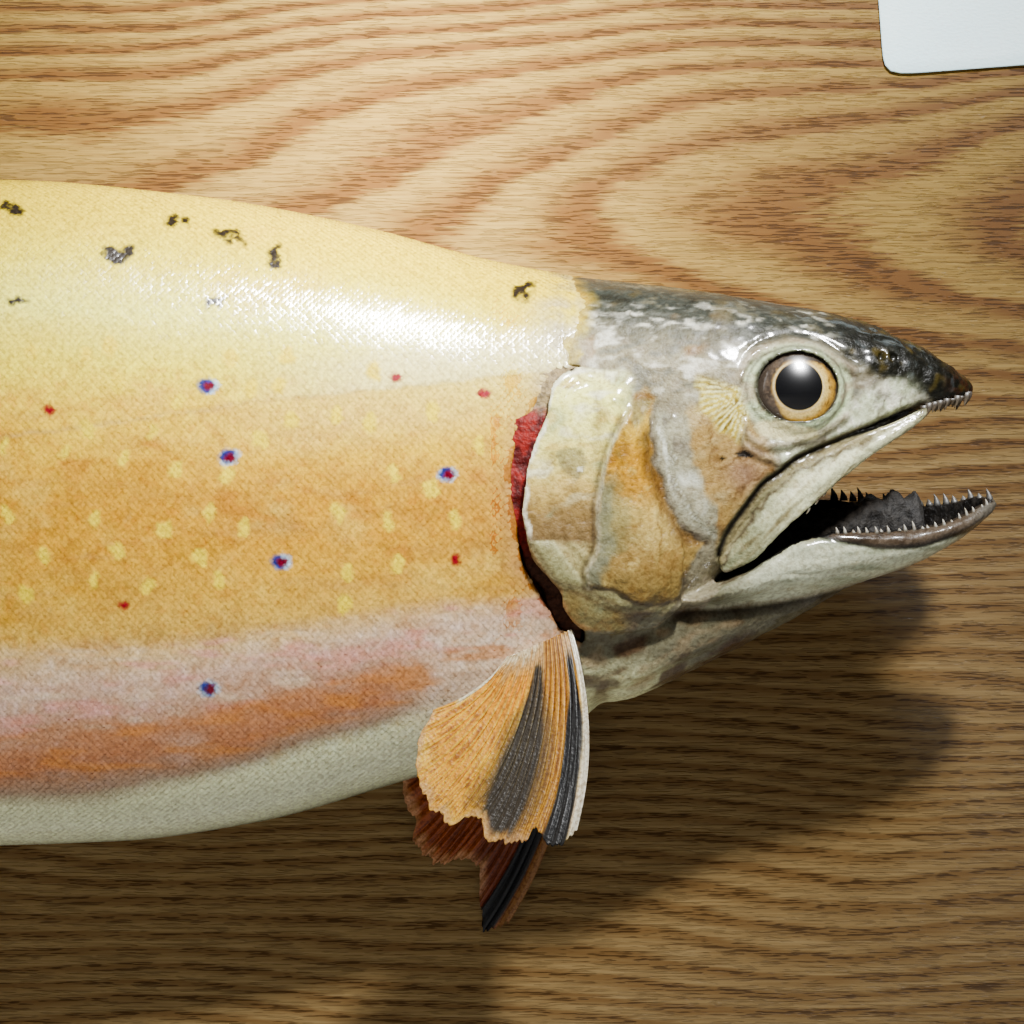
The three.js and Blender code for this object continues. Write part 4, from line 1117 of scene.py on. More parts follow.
    # The near-black dab at the gill cover's top corner is the painted shade of a small pit, not carved.
    lay((0.07, 0.05, 0.03), 0.9 * dab(u, z, (86.6, 31.2), 1.0, 1.3, 20, seed=9, ragged=0.6))
    lay((0.26, 0.25, 0.20), 0.5 * dab(u, z, (85.5, 10.5), 3.4, 2.2, 30, seed=10, ragged=0.6))
    lay((1.0, 1.0, 0.85), 0.9 * dab(u, z, (84.2, 9.0), 0.55, 0.5, 0, seed=11))
    u = true_u
    z = true_z
    in_low_cover = inside_outline(u, z, LOWER_COVER)
    low_cover = ramp(in_low_cover, -0.3, 0.3)
    lay((0.50, 0.50, 0.32), 0.8 * low_cover)
    lay((0.30, 0.22, 0.11), 0.5 * low_cover * ramp(n_curl, 0.1, 0.6))
    lay((0.80, 0.78, 0.52), 0.6 * low_cover * (1 - ramp(in_low_cover, 0.3, 1.1)))
    # The dark lines along the lobe's edge and the lower plate's edge are painted shade under these free
    # edges.
    lay((0.16, 0.11, 0.07), 0.7 * bump_line(u, z, LOBE_EDGE, 0.7))
    from_plate = near_line(u, z, LOWER_PLATE) - 0.6
    lay((0.20, 0.15, 0.09), 0.6 * np.exp(-(from_plate / 0.7) ** 2))
    # Painted light at the plate's rear ridge: a dark line in the groove behind it, a pale highlight on
    # it.
    lay((0.13, 0.10, 0.07), 0.6 * bump_line(u - 0.9, z, PLATE_RIDGE[8:], 0.55))
    lay((0.74, 0.72, 0.60), 0.6 * bump_line(u + 0.1, z, PLATE_RIDGE[8:], 0.4))

    lower = 1 - ramp(z, -24, -16)
    jaw_u = np.clip(u, -5, 60)
    jaw_floor = jaw_under(jaw_u)
    bare = (1 - on_cover) * (1 - on_plate)
    bottom = ramp(jaw_floor - z, -1.5, 0.8) * bare * (u < 90)
    lay((0.33, 0.32, 0.24), 0.9 * bottom * lower)
    brown = noise(u * 0.5, w, z, size=4.5, seed=15, octaves=2)
    lay((0.19, 0.13, 0.085), 0.7 * bottom * ramp(brown, 0.1, 0.5))
    lay((0.92, 0.93, 0.66), 0.9 * bottom * ramp(u, 54, 72) * ramp(-z, 29, 37))
    stains = noise(u * 0.6 + z * 0.3, w * 0.6, z, size=4.0, seed=89, octaves=3)
    throat_zone = bottom * window(u, 50, 84, 6) * (1 - ramp(-z, 37, 43))
    lay((0.20, 0.12, 0.07), 0.75 * throat_zone * ramp(stains, 0.0, 0.4))
    lay((0.56, 0.44, 0.30), 0.5 * throat_zone * ramp(-stains, 0.15, 0.5))

    # Painted shadow: a dark band just under the lower jaw's edge, where the throat lies back.
    shadow_under_jaw = np.exp(-np.maximum(jaw_floor - 0.4 - z, 0) / 2.2) * ramp(jaw_floor - z, -0.2, 0.8)
    lay((0.07, 0.055, 0.04), 0.85 * shadow_under_jaw * window(u, 26, 62, 5) * bare)
    eye = eye_radius(u, z)
    near_eye = 1 - ramp(eye, 1.28, 1.5)
    lay((0.84, 0.95, 0.70), 0.85 * near_eye)
    lay((0.60, 0.47, 0.37), 0.6 * near_eye * ramp(n_mid, 0.1, 0.6))
    lid = 1 - ramp(eye + 0.05 * n_mid, 1.02, 1.10 + 0.10 * ramp(z - EYE_Z, 0, 7))
    lay((0.06, 0.05, 0.04), 0.85 * lid)
    socket = np.exp(-((eye - 1.22 - 0.03 * n_mid) / 0.035) ** 2)
    lay((0.26, 0.25, 0.22), 0.6 * socket)
    outside_eye = ramp(eye, 1.1, 1.3)
    # On each fold round the eye: a lighter line on the fold is a painted highlight, a dark line below it
    # painted shade.
    for fold in (BROW_FOLD, *UNDER_EYE):
        lay((0.64, 0.56, 0.45), 0.6 * bump_line(u, z, fold, 0.8) * outside_eye)
        shade_below_fold = bump_line(u, z, fold - np.array([0, 1.5]), 0.5)
        lay((0.16, 0.12, 0.09), 0.5 * shade_below_fold * outside_eye)
    # The pale dab under the eye is a painted highlight on the shaded underside of the lower fold.
    lay((1.0, 0.95, 0.66), 0.9 * dab(u, z, (41, 16.9), 7.0, 1.8, 8, seed=6, ragged=0.4))
    for a, b, wide, high in ((50.3, 12.1, 2.0, 0.7), (54.4, 11.2, 0.8, 0.4)):
        lay((0.03, 0.025, 0.02), 0.9 * dab(u, z, (a, b), wide, high, 12, seed=3, ragged=0.5))

    strap = inside_outline(u, z, STRAP)
    seat = side - side_width(u, np.maximum(strap_line(u), lip(u) + 4))
    on_strap = ramp(strap, -1.0, 0.0) * ramp(seat, -1.4, -0.2)
    lay((0.93, 0.95, 0.72), on_strap)
    lay((1.0, 1.0, 0.80), 0.7 * on_strap * bump_line(u, z, STRAP_RIDGE, 1.0))
    lay((0.47, 0.49, 0.34), 0.9 * on_strap * ramp(u + 2 * n_mid, 38, 49))
    from_groove = near_line(u, z, LIP_GROOVE) + 0.9 * n_mid
    upper_half = on_strap * (1 - ramp(from_groove, 1.4, 2.8)) * ramp(u, 12, 26)
    lay((0.50, 0.44, 0.28), 0.85 * upper_half)
    lay((0.20, 0.15, 0.10), 0.8 * on_strap * np.exp(-((from_groove - 2.5) / 0.4) ** 2) * ramp(u, 18, 30))
    along_strap = noise(u + z, (u - z) * 0.12, size=0.9, seed=88, octaves=2)
    lay((0.66, 0.64, 0.44), 0.5 * on_strap * ramp(along_strap, 0.1, 0.5))
    worn = noise(u + z, (u - z) * 0.15, size=1.4, seed=16, octaves=2)
    lay((0.34, 0.28, 0.16), 0.6 * on_strap * ramp(worn, 0.15, 0.6))
    # The near-black line along the lip groove is painted shade in the deep groove between the maxilla
    # and the cheek.
    groove = near_line(u, z, LIP_GROOVE)
    lay((0.025, 0.02, 0.018), 0.95 * np.exp(-(groove / (0.75 + 0.3 * n_mid)) ** 2))

    rim = jaw_rim(np.clip(u, -5.4, 60))
    on_jaw = (u < 64) & (z < rim + 0.28 * side + 1.0) & (z < lip(np.maximum(u, 0)) - 1.0)
    jaw_mask = on_jaw * ramp(z, jaw_floor - 0.3, jaw_floor + 1.5)
    jaw_mask = jaw_mask * (1 - on_strap) * (1 - on_plate) * (1 - ramp(u, 56, 64))
    grain = noise(u * 0.14, z, size=1.1, seed=17, octaves=2)
    lay((0.80, 0.83, 0.68), 0.95 * jaw_mask)
    lay((0.46, 0.50, 0.38), 0.6 * jaw_mask * ramp(grain, 0.1, 0.6))
    lay((0.34, 0.33, 0.235), 0.9 * jaw_mask * ramp(u + 2 * n_mid, 44, 56))
    lip_edge = np.interp(u, JAW_LIP[::-1, 0], JAW_LIP[::-1, 1])
    lip_height = z + 0.28 * (w - side) - lip_edge
    on_lip = jaw_mask * ramp(lip_height, -0.3, 0.5) * (1 - ramp(u, 38, 44))
    lay((0.20, 0.14, 0.10), 0.9 * on_lip)
    lay((0.38, 0.33, 0.28), 0.7 * on_lip * ramp(n_curl + 0.5 * n_fine, -0.1, 0.4))
    lay((0.08, 0.06, 0.05), 0.6 * on_lip * ramp(-n_curl, 0.1, 0.5))
    lay((0.42, 0.42, 0.39), 0.6 * on_lip * (1 - ramp(u, -3, 4)))
    # The near-black line along the lip's crease is painted shade.
    lay((0.03, 0.025, 0.02), 0.8 * np.exp(-(lip_height / 0.45) ** 2) * on_jaw * (1 - ramp(u, 36, 40)))

    lean = 0.28 * w / (rim - jaw_floor)
    upright = (z - lean * jaw_floor) / np.clip(1 - lean, 0.3, 3)
    widest = jaw_floor + 0.7 * (rim - jaw_floor)
    below = np.clip((widest - upright) / (widest - jaw_floor), 0, 1)
    jaw_side = jaw_half(jaw_u) * (1 - below**2.2) ** (1 / 2.2)
    in_jaw = (u < 57) & (side < jaw_side - 1.3) & (upright > jaw_floor + 2.6)
    in_jaw = in_jaw & (z < lip(np.maximum(u, 0)) - 0.5)
    in_palate = (u > 9) & (u < 53) & (side < half(np.maximum(u, 0)) - 2.4)
    in_palate = in_palate & (z < lip(np.maximum(u, 0)) + 6) & (upright > rim + 0.5)
    mouth = (in_jaw | in_palate) * (1 - on_strap * (side > jaw_half(jaw_u) - 2.2))
    lay((0.035, 0.03, 0.026), 0.96 * mouth * (1 - 0.8 * ramp(u, 41, 50)))
    # Toward the mouth's corner the inside is painted dark grey-brown: painted shade below the maxilla.
    lay((0.30, 0.26, 0.19), 0.8 * mouth * ramp(u, 44, 52))
    lay((0.12, 0.11, 0.10), 0.7 * mouth * (1 - ramp(u, 2, 20)) * ramp(n_fine, -0.3, 0.4))
    dry = 1 - mouth.astype(float)
    # Darker blotches, stronger below z 5 mm than above z 18 mm.
    dark_blotches_weaker_above = (0.5 - 0.3 * ramp(z, 5, 18)) * ramp(n_curl + 0.6 * n_fine, 0.2, 0.8)
    lay(lay.colour * np.array((0.62, 0.54, 0.44)), dry * dark_blotches_weaker_above)
    specks = noise(u, w, z, size=0.8, seed=83, octaves=2)
    lay((0.16, 0.12, 0.08), 0.35 * dry * ramp(specks, 0.55, 0.85))
    return lay.colour * (1 + 0.14 * n_fine[:, None])


VARNISH = 1.7


def paint(u, w, z):
    """The colour of the skin at any place. Varnish deepens every colour under it."""
    nape = np.interp(z, [31, 38.4, 44.7, 49.3, 53], [85.4, 84.4, 82.3, 84.4, 86.0])
    edge = np.interp(z, SLIT_EDGE[::-1, 1], SLIT_EDGE[::-1, 0]) - 0.8
    edge = np.where(z > 31, nape + 2.6 * noise(u, w, z, size=3, seed=18, octaves=3), edge)
    edge = np.where(z < -27, 84 + 6 * ramp(-z, 27, 36), edge)
    soft = np.where(z > 31, 0.4 + 2.2 * ramp(z, 31, 40), 0.4) + 5 * ramp(-z, 27, 36)
    behind = ramp(u - edge, -soft, soft)
    rear = behind > 0
    front = behind < 1
    body = np.zeros((len(u), 3))
    head = np.zeros((len(u), 3))
    body[rear] = paint_spots(paint_body(u[rear], w[rear], z[rear]), u[rear], w[rear], z[rear])
    head[front] = paint_head(u[front], w[front], z[front])
    colour = body * behind[:, None] + head * (1 - behind[:, None])
    room = (u < edge + 1) & (u > 83) & (np.abs(w) < side_width(u, z) - 1.6) & (np.abs(z) < 31)
    return over(colour, (0.36, 0.20, 0.12), room.astype(float)) ** VARNISH


skin_points = mesh_points(skin)
skin_u, skin_w, skin_z = fish_place(skin_points)
store_paint(skin, paint(skin_u, skin_w, skin_z))
print("painted", len(skin_points), "points")

# %% [markdown]
# ## Writing materials as sums
#
# A material is a network of nodes. Wiring it by hand hides what it means, so a small class
# wraps a node's output: arithmetic on it adds Math nodes, and `node` adds any other kind.

# %% Shader maths
class Flow:
    """An output socket of a node tree, with arithmetic."""

    def __init__(self, tree, socket=None):
        self.tree = tree
        self.socket = socket

    def node(self, kind, inputs=None, out=0, stops=None, **settings):
        """Adds a node: its settings first, then the values or links of its sockets."""
        made = self.tree.nodes.new("ShaderNode" + kind)
        for name, value in settings.items():
            setattr(made, name, value)
        if stops:
            ramp_stops = made.color_ramp.elements
            while len(ramp_stops) < len(stops):
                ramp_stops.new(0.5)
            for element, (position, colour) in zip(ramp_stops, stops):
                element.position = position
                element.color = (*colour, 1) if len(colour) == 3 else colour
        for name, value in (inputs or {}).items():
            socket = made.inputs[name]
            if isinstance(value, Flow):
                self.tree.links.new(value.socket, socket)
            else:
                socket.default_value = value
        return Flow(self.tree, made.outputs[out])

    def maths(self, operation, *values):
        return self.node("Math", dict(enumerate(values)), operation=operation)

    def __add__(self, other):
        return self.maths("ADD", self, other)

    def __radd__(self, other):
        return self.maths("ADD", other, self)

    def __sub__(self, other):
        return self.maths("SUBTRACT", self, other)

    def __rsub__(self, other):
        return self.maths("SUBTRACT", other, self)

    def __mul__(self, other):
        return self.maths("MULTIPLY", self, other)

    def __rmul__(self, other):
        return self.maths("MULTIPLY", other, self)

    def __truediv__(self, other):
        return self.maths("DIVIDE", self, other)

    def __rtruediv__(self, other):
        return self.maths("DIVIDE", other, self)

    def __pow__(self, other):
        return self.maths("POWER", self, other)

    def step(self, low, high):
        """0 below `low`, 1 above `high`, smooth between."""
        inputs = {"Value": self, "From Min": low, "From Max": high}
        return self.node("MapRange", inputs, interpolation_type="SMOOTHSTEP")

    def mix(self, other, factor, blend="MIX"):
        """This colour blended toward another one."""
        inputs = {0: factor, 6: self, 7: other}
        return self.node("Mix", inputs, out=2, data_type="RGBA", blend_type=blend)

    def times(self, *tint):
        """This colour multiplied by a tint."""
        return self.mix((*tint, 1), 1.0, "MULTIPLY")

    def stretch(self, x, y, z):
        return self.node("VectorMath", {0: self, 1: (x, y, z)}, operation="MULTIPLY")

    def parts(self):
        made = self.node("SeparateXYZ", {"Vector": self}).socket.node
        return [Flow(self.tree, output) for output in made.outputs]

    def blobs(self, scale, detail=2.0, rough=0.5):
        """Noise from 0 to 1 at this place, `scale` blobs to the metre."""
        inputs = {"Vector": self, "Scale": scale, "Detail": detail, "Roughness": rough}
        return self.node("TexNoise", inputs)


def new_material(name, **uniform):
    """A Principled material; values that are the same all over go straight on its sockets."""
    material = bpy.data.materials.new(name)
    material.use_nodes = True
    tree = material.node_tree
    shader = tree.nodes["Principled BSDF"]
    for key, value in uniform.items():
        shader.inputs[key.replace("_", " ")].default_value = value
    start = Flow(tree)
    where = start.node("TexCoord", out=3)
    return material, shader, start, where


def painted(start):
    """The colour that is stored at each point of the piece."""
    return start.node("Attribute", out=1, attribute_name="paint")


def feed(shader, name, flow):
    shader.id_data.links.new(flow.socket, shader.inputs[name])


def bump(start, height, distance, strength=1.0):
    inputs = {"Height": height, "Distance": distance, "Strength": strength}
    return start.node("Bump", inputs)


# %% [markdown]
# ## Varnished skin
#
# The painted skin is under a coat of clear varnish. The base takes the painted colour and
# mottles it a little, and the coat gives the wet gleam. Fine noise in the bump stands for
# the grain of the dried skin, too small to sculpt.

# %% Skin material
def skin_material(name, rough, coat, grain):
    material, shader, start, where = new_material(name, IOR=1.45, Specular_IOR_Level=0.05,
                                                  Coat_Roughness=0.15, Coat_IOR=1.45)
    paint_colour = painted(start)
    small = where.blobs(1100.0, 2.0, 0.6)
    large = where.blobs(260.0, 2.0, 0.6)
    darker = paint_colour.times(0.62, 0.56, 0.48)
    lighter = paint_colour.times(1.12, 1.12, 1.10)
    mottled = darker.mix(lighter, small.step(0.30, 0.62))
    mottled = mottled.mix(paint_colour, 0.35)
    feed(shader, "Base Color", mottled)
    feed(shader, "Roughness", rough + 0.22 * (large - 0.5) + 0.15 * (small - 0.5))
    feed(shader, "Coat Weight", (large.step(0.25, 0.7) * 0.4 + 0.6) * coat)
    height = small * 0.6 + large * 0.8
    feed(shader, "Normal", bump(start, height, grain))
    return material


head_varnish = skin_material("varnished_skin", 0.46, 0.55, 0.00055)
skin.data.materials.clear()
skin.data.materials.append(head_varnish)
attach(skin, "root")
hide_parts("head", "lower_jaw", "throat", "maxilla_right", "maxilla_left",
            "gill_cover_right", "gill_cover_left", "trunk_front", "trunk_rear", "tail_stem")

# %% [markdown]
# ## Scales
#
# A trout has tens of thousands of tiny scales that overlap like roof tiles, each with its
# root toward the head and its free edge toward the tail. One scale is a small domed shield
# of nine points. It is repeated in a brick layout that is measured along the skin itself:
# `u` along the fish and the girth round it. The copies are joined meshes, because a copy
# made on the fly would be lost on export.

# %% Girth table
GIRTH_STEP = 0.5
table_u = np.arange(82.0, 456.0, 1.0)
table_s = np.arange(-190.0, 190.0, GIRTH_STEP)
table_w = np.zeros((len(table_u), len(table_s)))
table_z = np.zeros((len(table_u), len(table_s)))
half_girth = np.zeros(len(table_u))
for row, u in enumerate(table_u):
    w, z = body_ring(float(u), 1440)
    w = np.roll(w, -360)[::-1]
    z = np.roll(z, -360)[::-1]
    along = np.append(0, np.cumsum(np.hypot(np.diff(w), np.diff(z))))
    w = np.concatenate([w, w, w])
    z = np.concatenate([z, z, z])
    lap = along[-1] + math.hypot(w[0] - w[1439], z[0] - z[1439])
    along = np.concatenate([along - lap, along, along + lap])
    table_w[row] = np.interp(table_s, along, w)
    table_z[row] = np.interp(table_s, along, z)
    half_girth[row] = lap / 2
print("girth", round(float(half_girth.max() * 2)), "mm at the thickest")


def on_skin(u, s):
    """Points of the skin at stations u and girth places s, and their w and z."""
    row = np.clip(u - table_u[0], 0, len(table_u) - 1.001)
    col = np.clip((s - table_s[0]) / GIRTH_STEP, 0, len(table_s) - 1.001)
    r = row.astype(int)
    c = col.astype(int)
    fr = row - r
    fc = col - c
    found = []
    for table in (table_w, table_z):
        top = table[r, c] * (1 - fc) + table[r, c + 1] * fc
        low = table[r + 1, c] * (1 - fc) + table[r + 1, c + 1] * fc
        found.append(top * (1 - fr) + low * fr)
    return found


def on_skin_mm(u, s):
    w, z = on_skin(u, s)
    return place(u, w, z) / MM


# %% Scale layout
SCALE_ALONG = 1.5
SCALE_ROUND = 0.8
SCALE_RIM = np.linspace(0, 2 * math.pi, 8, endpoint=False)
RIM_HEIGHTS = (-0.10, -0.02, 0.10, 0.17)
SCALE_SHAPE = np.array([[0.15, 0.0, 0.13]] + [
    [1.02 * math.cos(a), 0.86 * math.sin(a), RIM_HEIGHTS[int(1.5 + 1.5 * math.cos(a) + 0.5)]]
    for a in SCALE_RIM])
SCALE_FACES = np.array([[0, k + 1, (k + 1) % 8 + 1] for k in range(8)])
# Painted shading of a scale: lighter at its domed middle (painted highlight), darker at its rim (painted
# shade).
SCALE_PAINTED_SHADING = np.array([1.07] + [0.86 + 0.05 * (math.cos(a) < 0.2) for a in SCALE_RIM])


def scale_roots():
    """The u and s of every scale, with bare places left out."""
    rows = np.arange(-150 / SCALE_ROUND, 150 / SCALE_ROUND).astype(int)
    steps = np.arange(int((TAIL_END - 84) / SCALE_ALONG))
    row, step = np.meshgrid(rows, steps, indexing="ij")
    u = 84 + (step + 0.5 * (row % 2)) * SCALE_ALONG
    s = row * SCALE_ROUND
    random = np.random.default_rng(8)
    u = u + random.uniform(-0.10, 0.10, u.shape)
    s = s + random.uniform(-0.07, 0.07, u.shape)
    u = u.ravel()
    s = s.ravel()
    reach = np.interp(u, table_u, half_girth)
    keep = np.abs(s) < reach - 0.3
    u = u[keep]
    s = s[keep]
    w, z = on_skin(u, s)
    edge = np.interp(z, SLIT_EDGE[::-1, 1], SLIT_EDGE[::-1, 0]) + 0.9
    nape = np.interp(z, [31, 38.4, 44.7, 49.3, 53], [86.0, 85.2, 83.6, 85.4, 87.0])
    edge = np.where(z > 31, nape, np.where(z < -27, 88 + 10 * ramp(-z, 27, 36), edge))
    keep = (u > edge) & (w > 0.9 - spine(u)) & (u < TAIL_END - 1.0)
    return u[keep], s[keep]


root_u, root_s = scale_roots()
print(len(root_u), "scales")


# %% Scale meshes
def build_scales(name, u, s, seed):
    random = np.random.default_rng(seed)
    centre = on_skin_mm(u, s)
    tail_way = on_skin_mm(u + 0.6, s) - on_skin_mm(u - 0.6, s)
    round_way = on_skin_mm(u, s + 0.6) - on_skin_mm(u, s - 0.6)
    tail_way /= np.linalg.norm(tail_way, axis=1)[:, None]
    round_way -= (round_way * tail_way).sum(axis=1)[:, None] * tail_way
    round_way /= np.linalg.norm(round_way, axis=1)[:, None]
    outward = np.cross(tail_way, round_way)
    w, z = on_skin(u, s)
    facing = place(u, w * 1.02, z) / MM - centre
    outward *= np.sign((outward * facing).sum(axis=1) + 1e-9)[:, None]
    turn = random.uniform(-0.14, 0.14, len(u))
    size = random.uniform(0.93, 1.07, len(u))
    lift = random.uniform(0.75, 1.2, len(u))
    x = SCALE_SHAPE[:, 0][None, :] * size[:, None]
    y = SCALE_SHAPE[:, 1][None, :] * size[:, None]
    h = SCALE_SHAPE[:, 2][None, :] * lift[:, None]
    c = np.cos(turn)[:, None]
    sn = np.sin(turn)[:, None]
    x, y = x * c - y * sn, x * sn + y * c
    points = (centre[:, None, :] + x[..., None] * tail_way[:, None, :]
              + y[..., None] * round_way[:, None, :] + h[..., None] * outward[:, None, :])
    points = points.reshape(-1, 3) * MM
    faces = SCALE_FACES[None] + 9 * np.arange(len(u))[:, None, None]
    faces = faces.reshape(-1, 3)
    a, b, d = (points[faces[:8, k]] for k in range(3))
    first = np.cross(b - a, d - a).sum(axis=0)
    if first @ outward[0] < 0:
        faces = faces[:, ::-1]
    pu = (u[:, None] + x).ravel()
    ps = (s[:, None] + y).ravel()
    pw, pz = on_skin(pu, ps)
    colours = paint_spots(paint_body(pu, pw, pz), pu, pw, pz)
    # Each scale's painted shading, times a random tone for that scale.
    shade = (SCALE_PAINTED_SHADING[None] * random.uniform(0.93, 1.07, len(u))[:, None]).ravel()
    piece = make_object(name, points, np.ascontiguousarray(faces),
                        paint=colours * shade[:, None])
    reach = np.interp(u, table_u, half_girth)
    map_u = 0.01 + 0.98 * (u - 84) / (TAIL_END - 84)
    map_s = 0.01 + 0.98 * (s + reach) / (2 * reach)
    uv = np.stack([map_u[:, None] + 0.0015 * SCALE_SHAPE[:, 0][None] / SCALE_SHAPE[1, 0],
                   map_s[:, None] + 0.0015 * SCALE_SHAPE[:, 1][None] / SCALE_SHAPE[1, 0]],
                  axis=-1).reshape(-1, 2)
    layer = piece.data.uv_layers.new(name="OFBake")
    layer.data.foreach_set("uv", uv[faces.ravel()].astype(np.float32).ravel())
    return piece


scale_varnish = skin_material("varnished_scales", 0.34, 0.8, 0.00012)
order = np.argsort(root_u, kind="stable")
groups = np.array_split(order, 5)
for number, group in enumerate(groups, 1):
    scales = build_scales(f"scales_{number}", root_u[group], root_s[group], number)
    scales.data.materials.append(scale_varnish)
    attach(scales, "root")
    print(scales.name, len(scales.data.polygons), "triangles")

# %% [markdown]
# ## Glass eyes
#
# A taxidermist's eye is a shallow glass lens, painted behind: a black pupil in a gold iris
# that darkens toward its rim. Here the ball is one solid of glassy finish, with the iris
# painted by how far and in which direction a point lies from the middle.

# %% Eyes
def eye_colours(along, up):
    reach = np.hypot(along, up)
    toward_nose = (-0.80 * along - 0.60 * up) / np.maximum(reach, 0.1)
    speck = noise(along, up, size=0.55, seed=51, octaves=2)
    streak = noise(np.arctan2(up, along) * 9, reach * 0.5, size=1.0, seed=52, octaves=2)
    lay = Coats(np.tile((0.055, 0.042, 0.032), (len(reach), 1)))
    shadow_side = ramp(along, 0, 6) * ramp(7.8 - reach, 0, 1.5)
    lay((0.17, 0.12, 0.08), 0.8 * shadow_side * ramp(speck, -0.4, 0.5))
    gold_to = 5.75 + 2.5 * np.clip(toward_nose + 0.35, 0, 1)
    gold = 1 - ramp(reach + 0.35 * streak, gold_to - 0.9, gold_to + 0.25)
    lay((0.62, 0.33, 0.03), gold)
    inner_gold = gold * (1 - ramp(reach + 0.5 * streak, 6.0, 7.3)) * np.clip(toward_nose + 0.6, 0, 1)
    lay((0.98, 0.72, 0.20), 0.95 * inner_gold)
    flecks = ramp(speck + 0.3 * streak, 0.25, 0.6) * ramp(reach, 5.4, 6.8)
    lay((0.10, 0.045, 0.01), 0.8 * gold * flecks)
    lay((0.99, 0.80, 0.40), 0.85 * np.exp(-((reach - 5.3) / 0.25) ** 2))
    lay((0.003, 0.003, 0.004), 1 - ramp(reach, 4.95, 5.15))
    return lay.colour


def make_eye(name, side):
    rings, spokes = 70, 112
    reach = np.concatenate([np.linspace(0, EYE_RADIUS, rings), np.linspace(9.1, 0.6, 12)])
    front = np.arange(len(reach)) < rings
    bulge = EYE_DEPTH - (LENS_CURVE - np.sqrt(LENS_CURVE**2 - reach**2))
    depth = np.where(front, bulge, -0.4 * EYE_DEPTH * (1 - (reach / EYE_RADIUS) ** 2) + 0.4)
    angle = np.linspace(0, 2 * np.pi, spokes, endpoint=False)
    along = (reach[:, None] * np.cos(angle)).ravel()
    up = (reach[:, None] * np.sin(angle)).ravel()
    out = np.repeat(depth, spokes)
    forward = out * math.cos(EYE_UPWARD) - up * math.sin(EYE_UPWARD)
    dz = up * math.cos(EYE_UPWARD) + out * math.sin(EYE_UPWARD)
    du = along * math.cos(EYE_FORWARD) - forward * math.sin(EYE_FORWARD)
    dw = along * math.sin(EYE_FORWARD) + forward * math.cos(EYE_FORWARD)
    points = place(EYE_U + du, side * (EYE_OUT + dw), EYE_Z + dz)
    faces = ring_quads(len(reach), spokes, side < 0)
    last = (len(reach) - 1) * spokes
    cap = tuple(range(last, last + spokes))
    faces.append(cap if side > 0 else cap[::-1])
    return make_object(name, points, faces, paint=eye_colours(along, up))


glass, shader, start, where = new_material("eye_glass", Roughness=0.22, IOR=1.5,
                                           Coat_Weight=1.0, Coat_Roughness=0.015, Coat_IOR=1.5)
iris = painted(start)
feed(shader, "Base Color", iris.mix(iris.times(0.8, 0.75, 0.7),
                                    where.blobs(2500.0, 2.0).step(0.4, 0.6)))
for name, side in (("right", 1), ("left", -1)):
    eye = make_eye(f"glass_eye_{name}", side)
    eye.data.materials.append(glass)
    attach(eye, "root")
    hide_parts(f"eye_{name}")
print("eyes", round(EYE_RADIUS * 2, 1), "mm across")

# %% [markdown]
# ## Teeth
#
# Trout teeth are small curved cones that lean backward. They are separate pieces of bone,
# seated a little inside the skin of the jaw that they grow from.

# %% Teeth
def make_teeth(name, feet, heights, ups, lean, radius=0.42, tint=(0.62, 0.58, 0.46)):
    points = []
    faces = []
    colours = []
    for foot, tall, up in zip(feet, heights, ups):
        u, w, z = foot
        base = len(points)
        for level in (-0.35, 0.15, 0.55, 0.85):
            thin = radius * (1.15 - 0.3 * level) * max(1 - max(level, 0), 0.1) ** 0.7
            for spoke in range(7):
                a = 2 * math.pi * spoke / 7
                bend = lean * max(level, 0) ** 1.6 * tall
                points.append((u + bend + thin * math.cos(a), w + thin * math.sin(a),
                               z + up * level * tall))
                dark = 0.30 + 0.70 * min(max(level, 0) * 1.4, 1)
                colours.append([dark * c for c in tint])
        points.append((u + lean * tall, w, z + up * tall))
        colours.append(tint)
        faces += [tuple(base + corner for corner in quad) for quad in ring_quads(4, 7, up > 0)]
        tip = len(points) - 1
        for spoke in range(7):
            a = base + 21 + spoke
            b = base + 21 + (spoke + 1) % 7
            faces.append((b, a, tip) if up > 0 else (a, b, tip))
        ring = tuple(base + spoke for spoke in range(7))
        faces.append(ring if up > 0 else ring[::-1])
    u, w, z = np.array(points).T
    piece = make_object(name, place(u, w, z), faces, paint=colours)
    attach(piece, "root")
    return piece


random = np.random.default_rng(17)


def jaw_row(side, start_u, end_u, count, low, high):
    u = np.linspace(start_u, end_u, count) + random.uniform(-0.4, 0.4, count)
    w = side * (jaw_half(u) - 1.35)
    z = jaw_rim(u) - 0.28 * w - 0.25
    tall = random.uniform(low, high, count) * random.choice([0.5, 1.0, 1.0, 1.25], count)
    return np.stack([u, w, z], axis=1), tall, np.ones(count)


near_row = make_teeth("teeth_lower_right", *jaw_row(1, -3.2, 30, 21, 0.9, 1.5), lean=0.30)
far_row = make_teeth("teeth_lower_left", *jaw_row(-1, -3.9, 28, 19, 1.2, 2.4), lean=0.35,
                     radius=0.75, tint=(0.16, 0.155, 0.14))
u = np.concatenate([np.linspace(0.6, 11, 11), np.linspace(0.9, 11, 10)])
w = np.concatenate([half(u[:11]) - 1.0, -(half(u[11:]) - 1.0)])
u = u + random.uniform(-0.35, 0.35, 21)
feet = np.stack([u, w, lip(np.maximum(u, 0)) + 0.7], axis=1)
tall = random.uniform(1.3, 2.3, 21) * random.choice([0.6, 1.0, 1.3], 21)
upper_row = make_teeth("teeth_upper", feet, tall, -np.ones(21), lean=0.32, radius=0.72,
                       tint=(0.20, 0.15, 0.09))
u = np.linspace(14, 36, 14)
edge_z = np.interp(u, STRAP_EDGE[::-1, 0], STRAP_EDGE[::-1, 1])
seat = side_width(u, np.maximum(strap_line(u), lip(u) + 4)) + 0.4
feet = np.concatenate([np.stack([u, seat, edge_z + 0.35], axis=1),
                       np.stack([u, -seat, edge_z + 0.35], axis=1)])
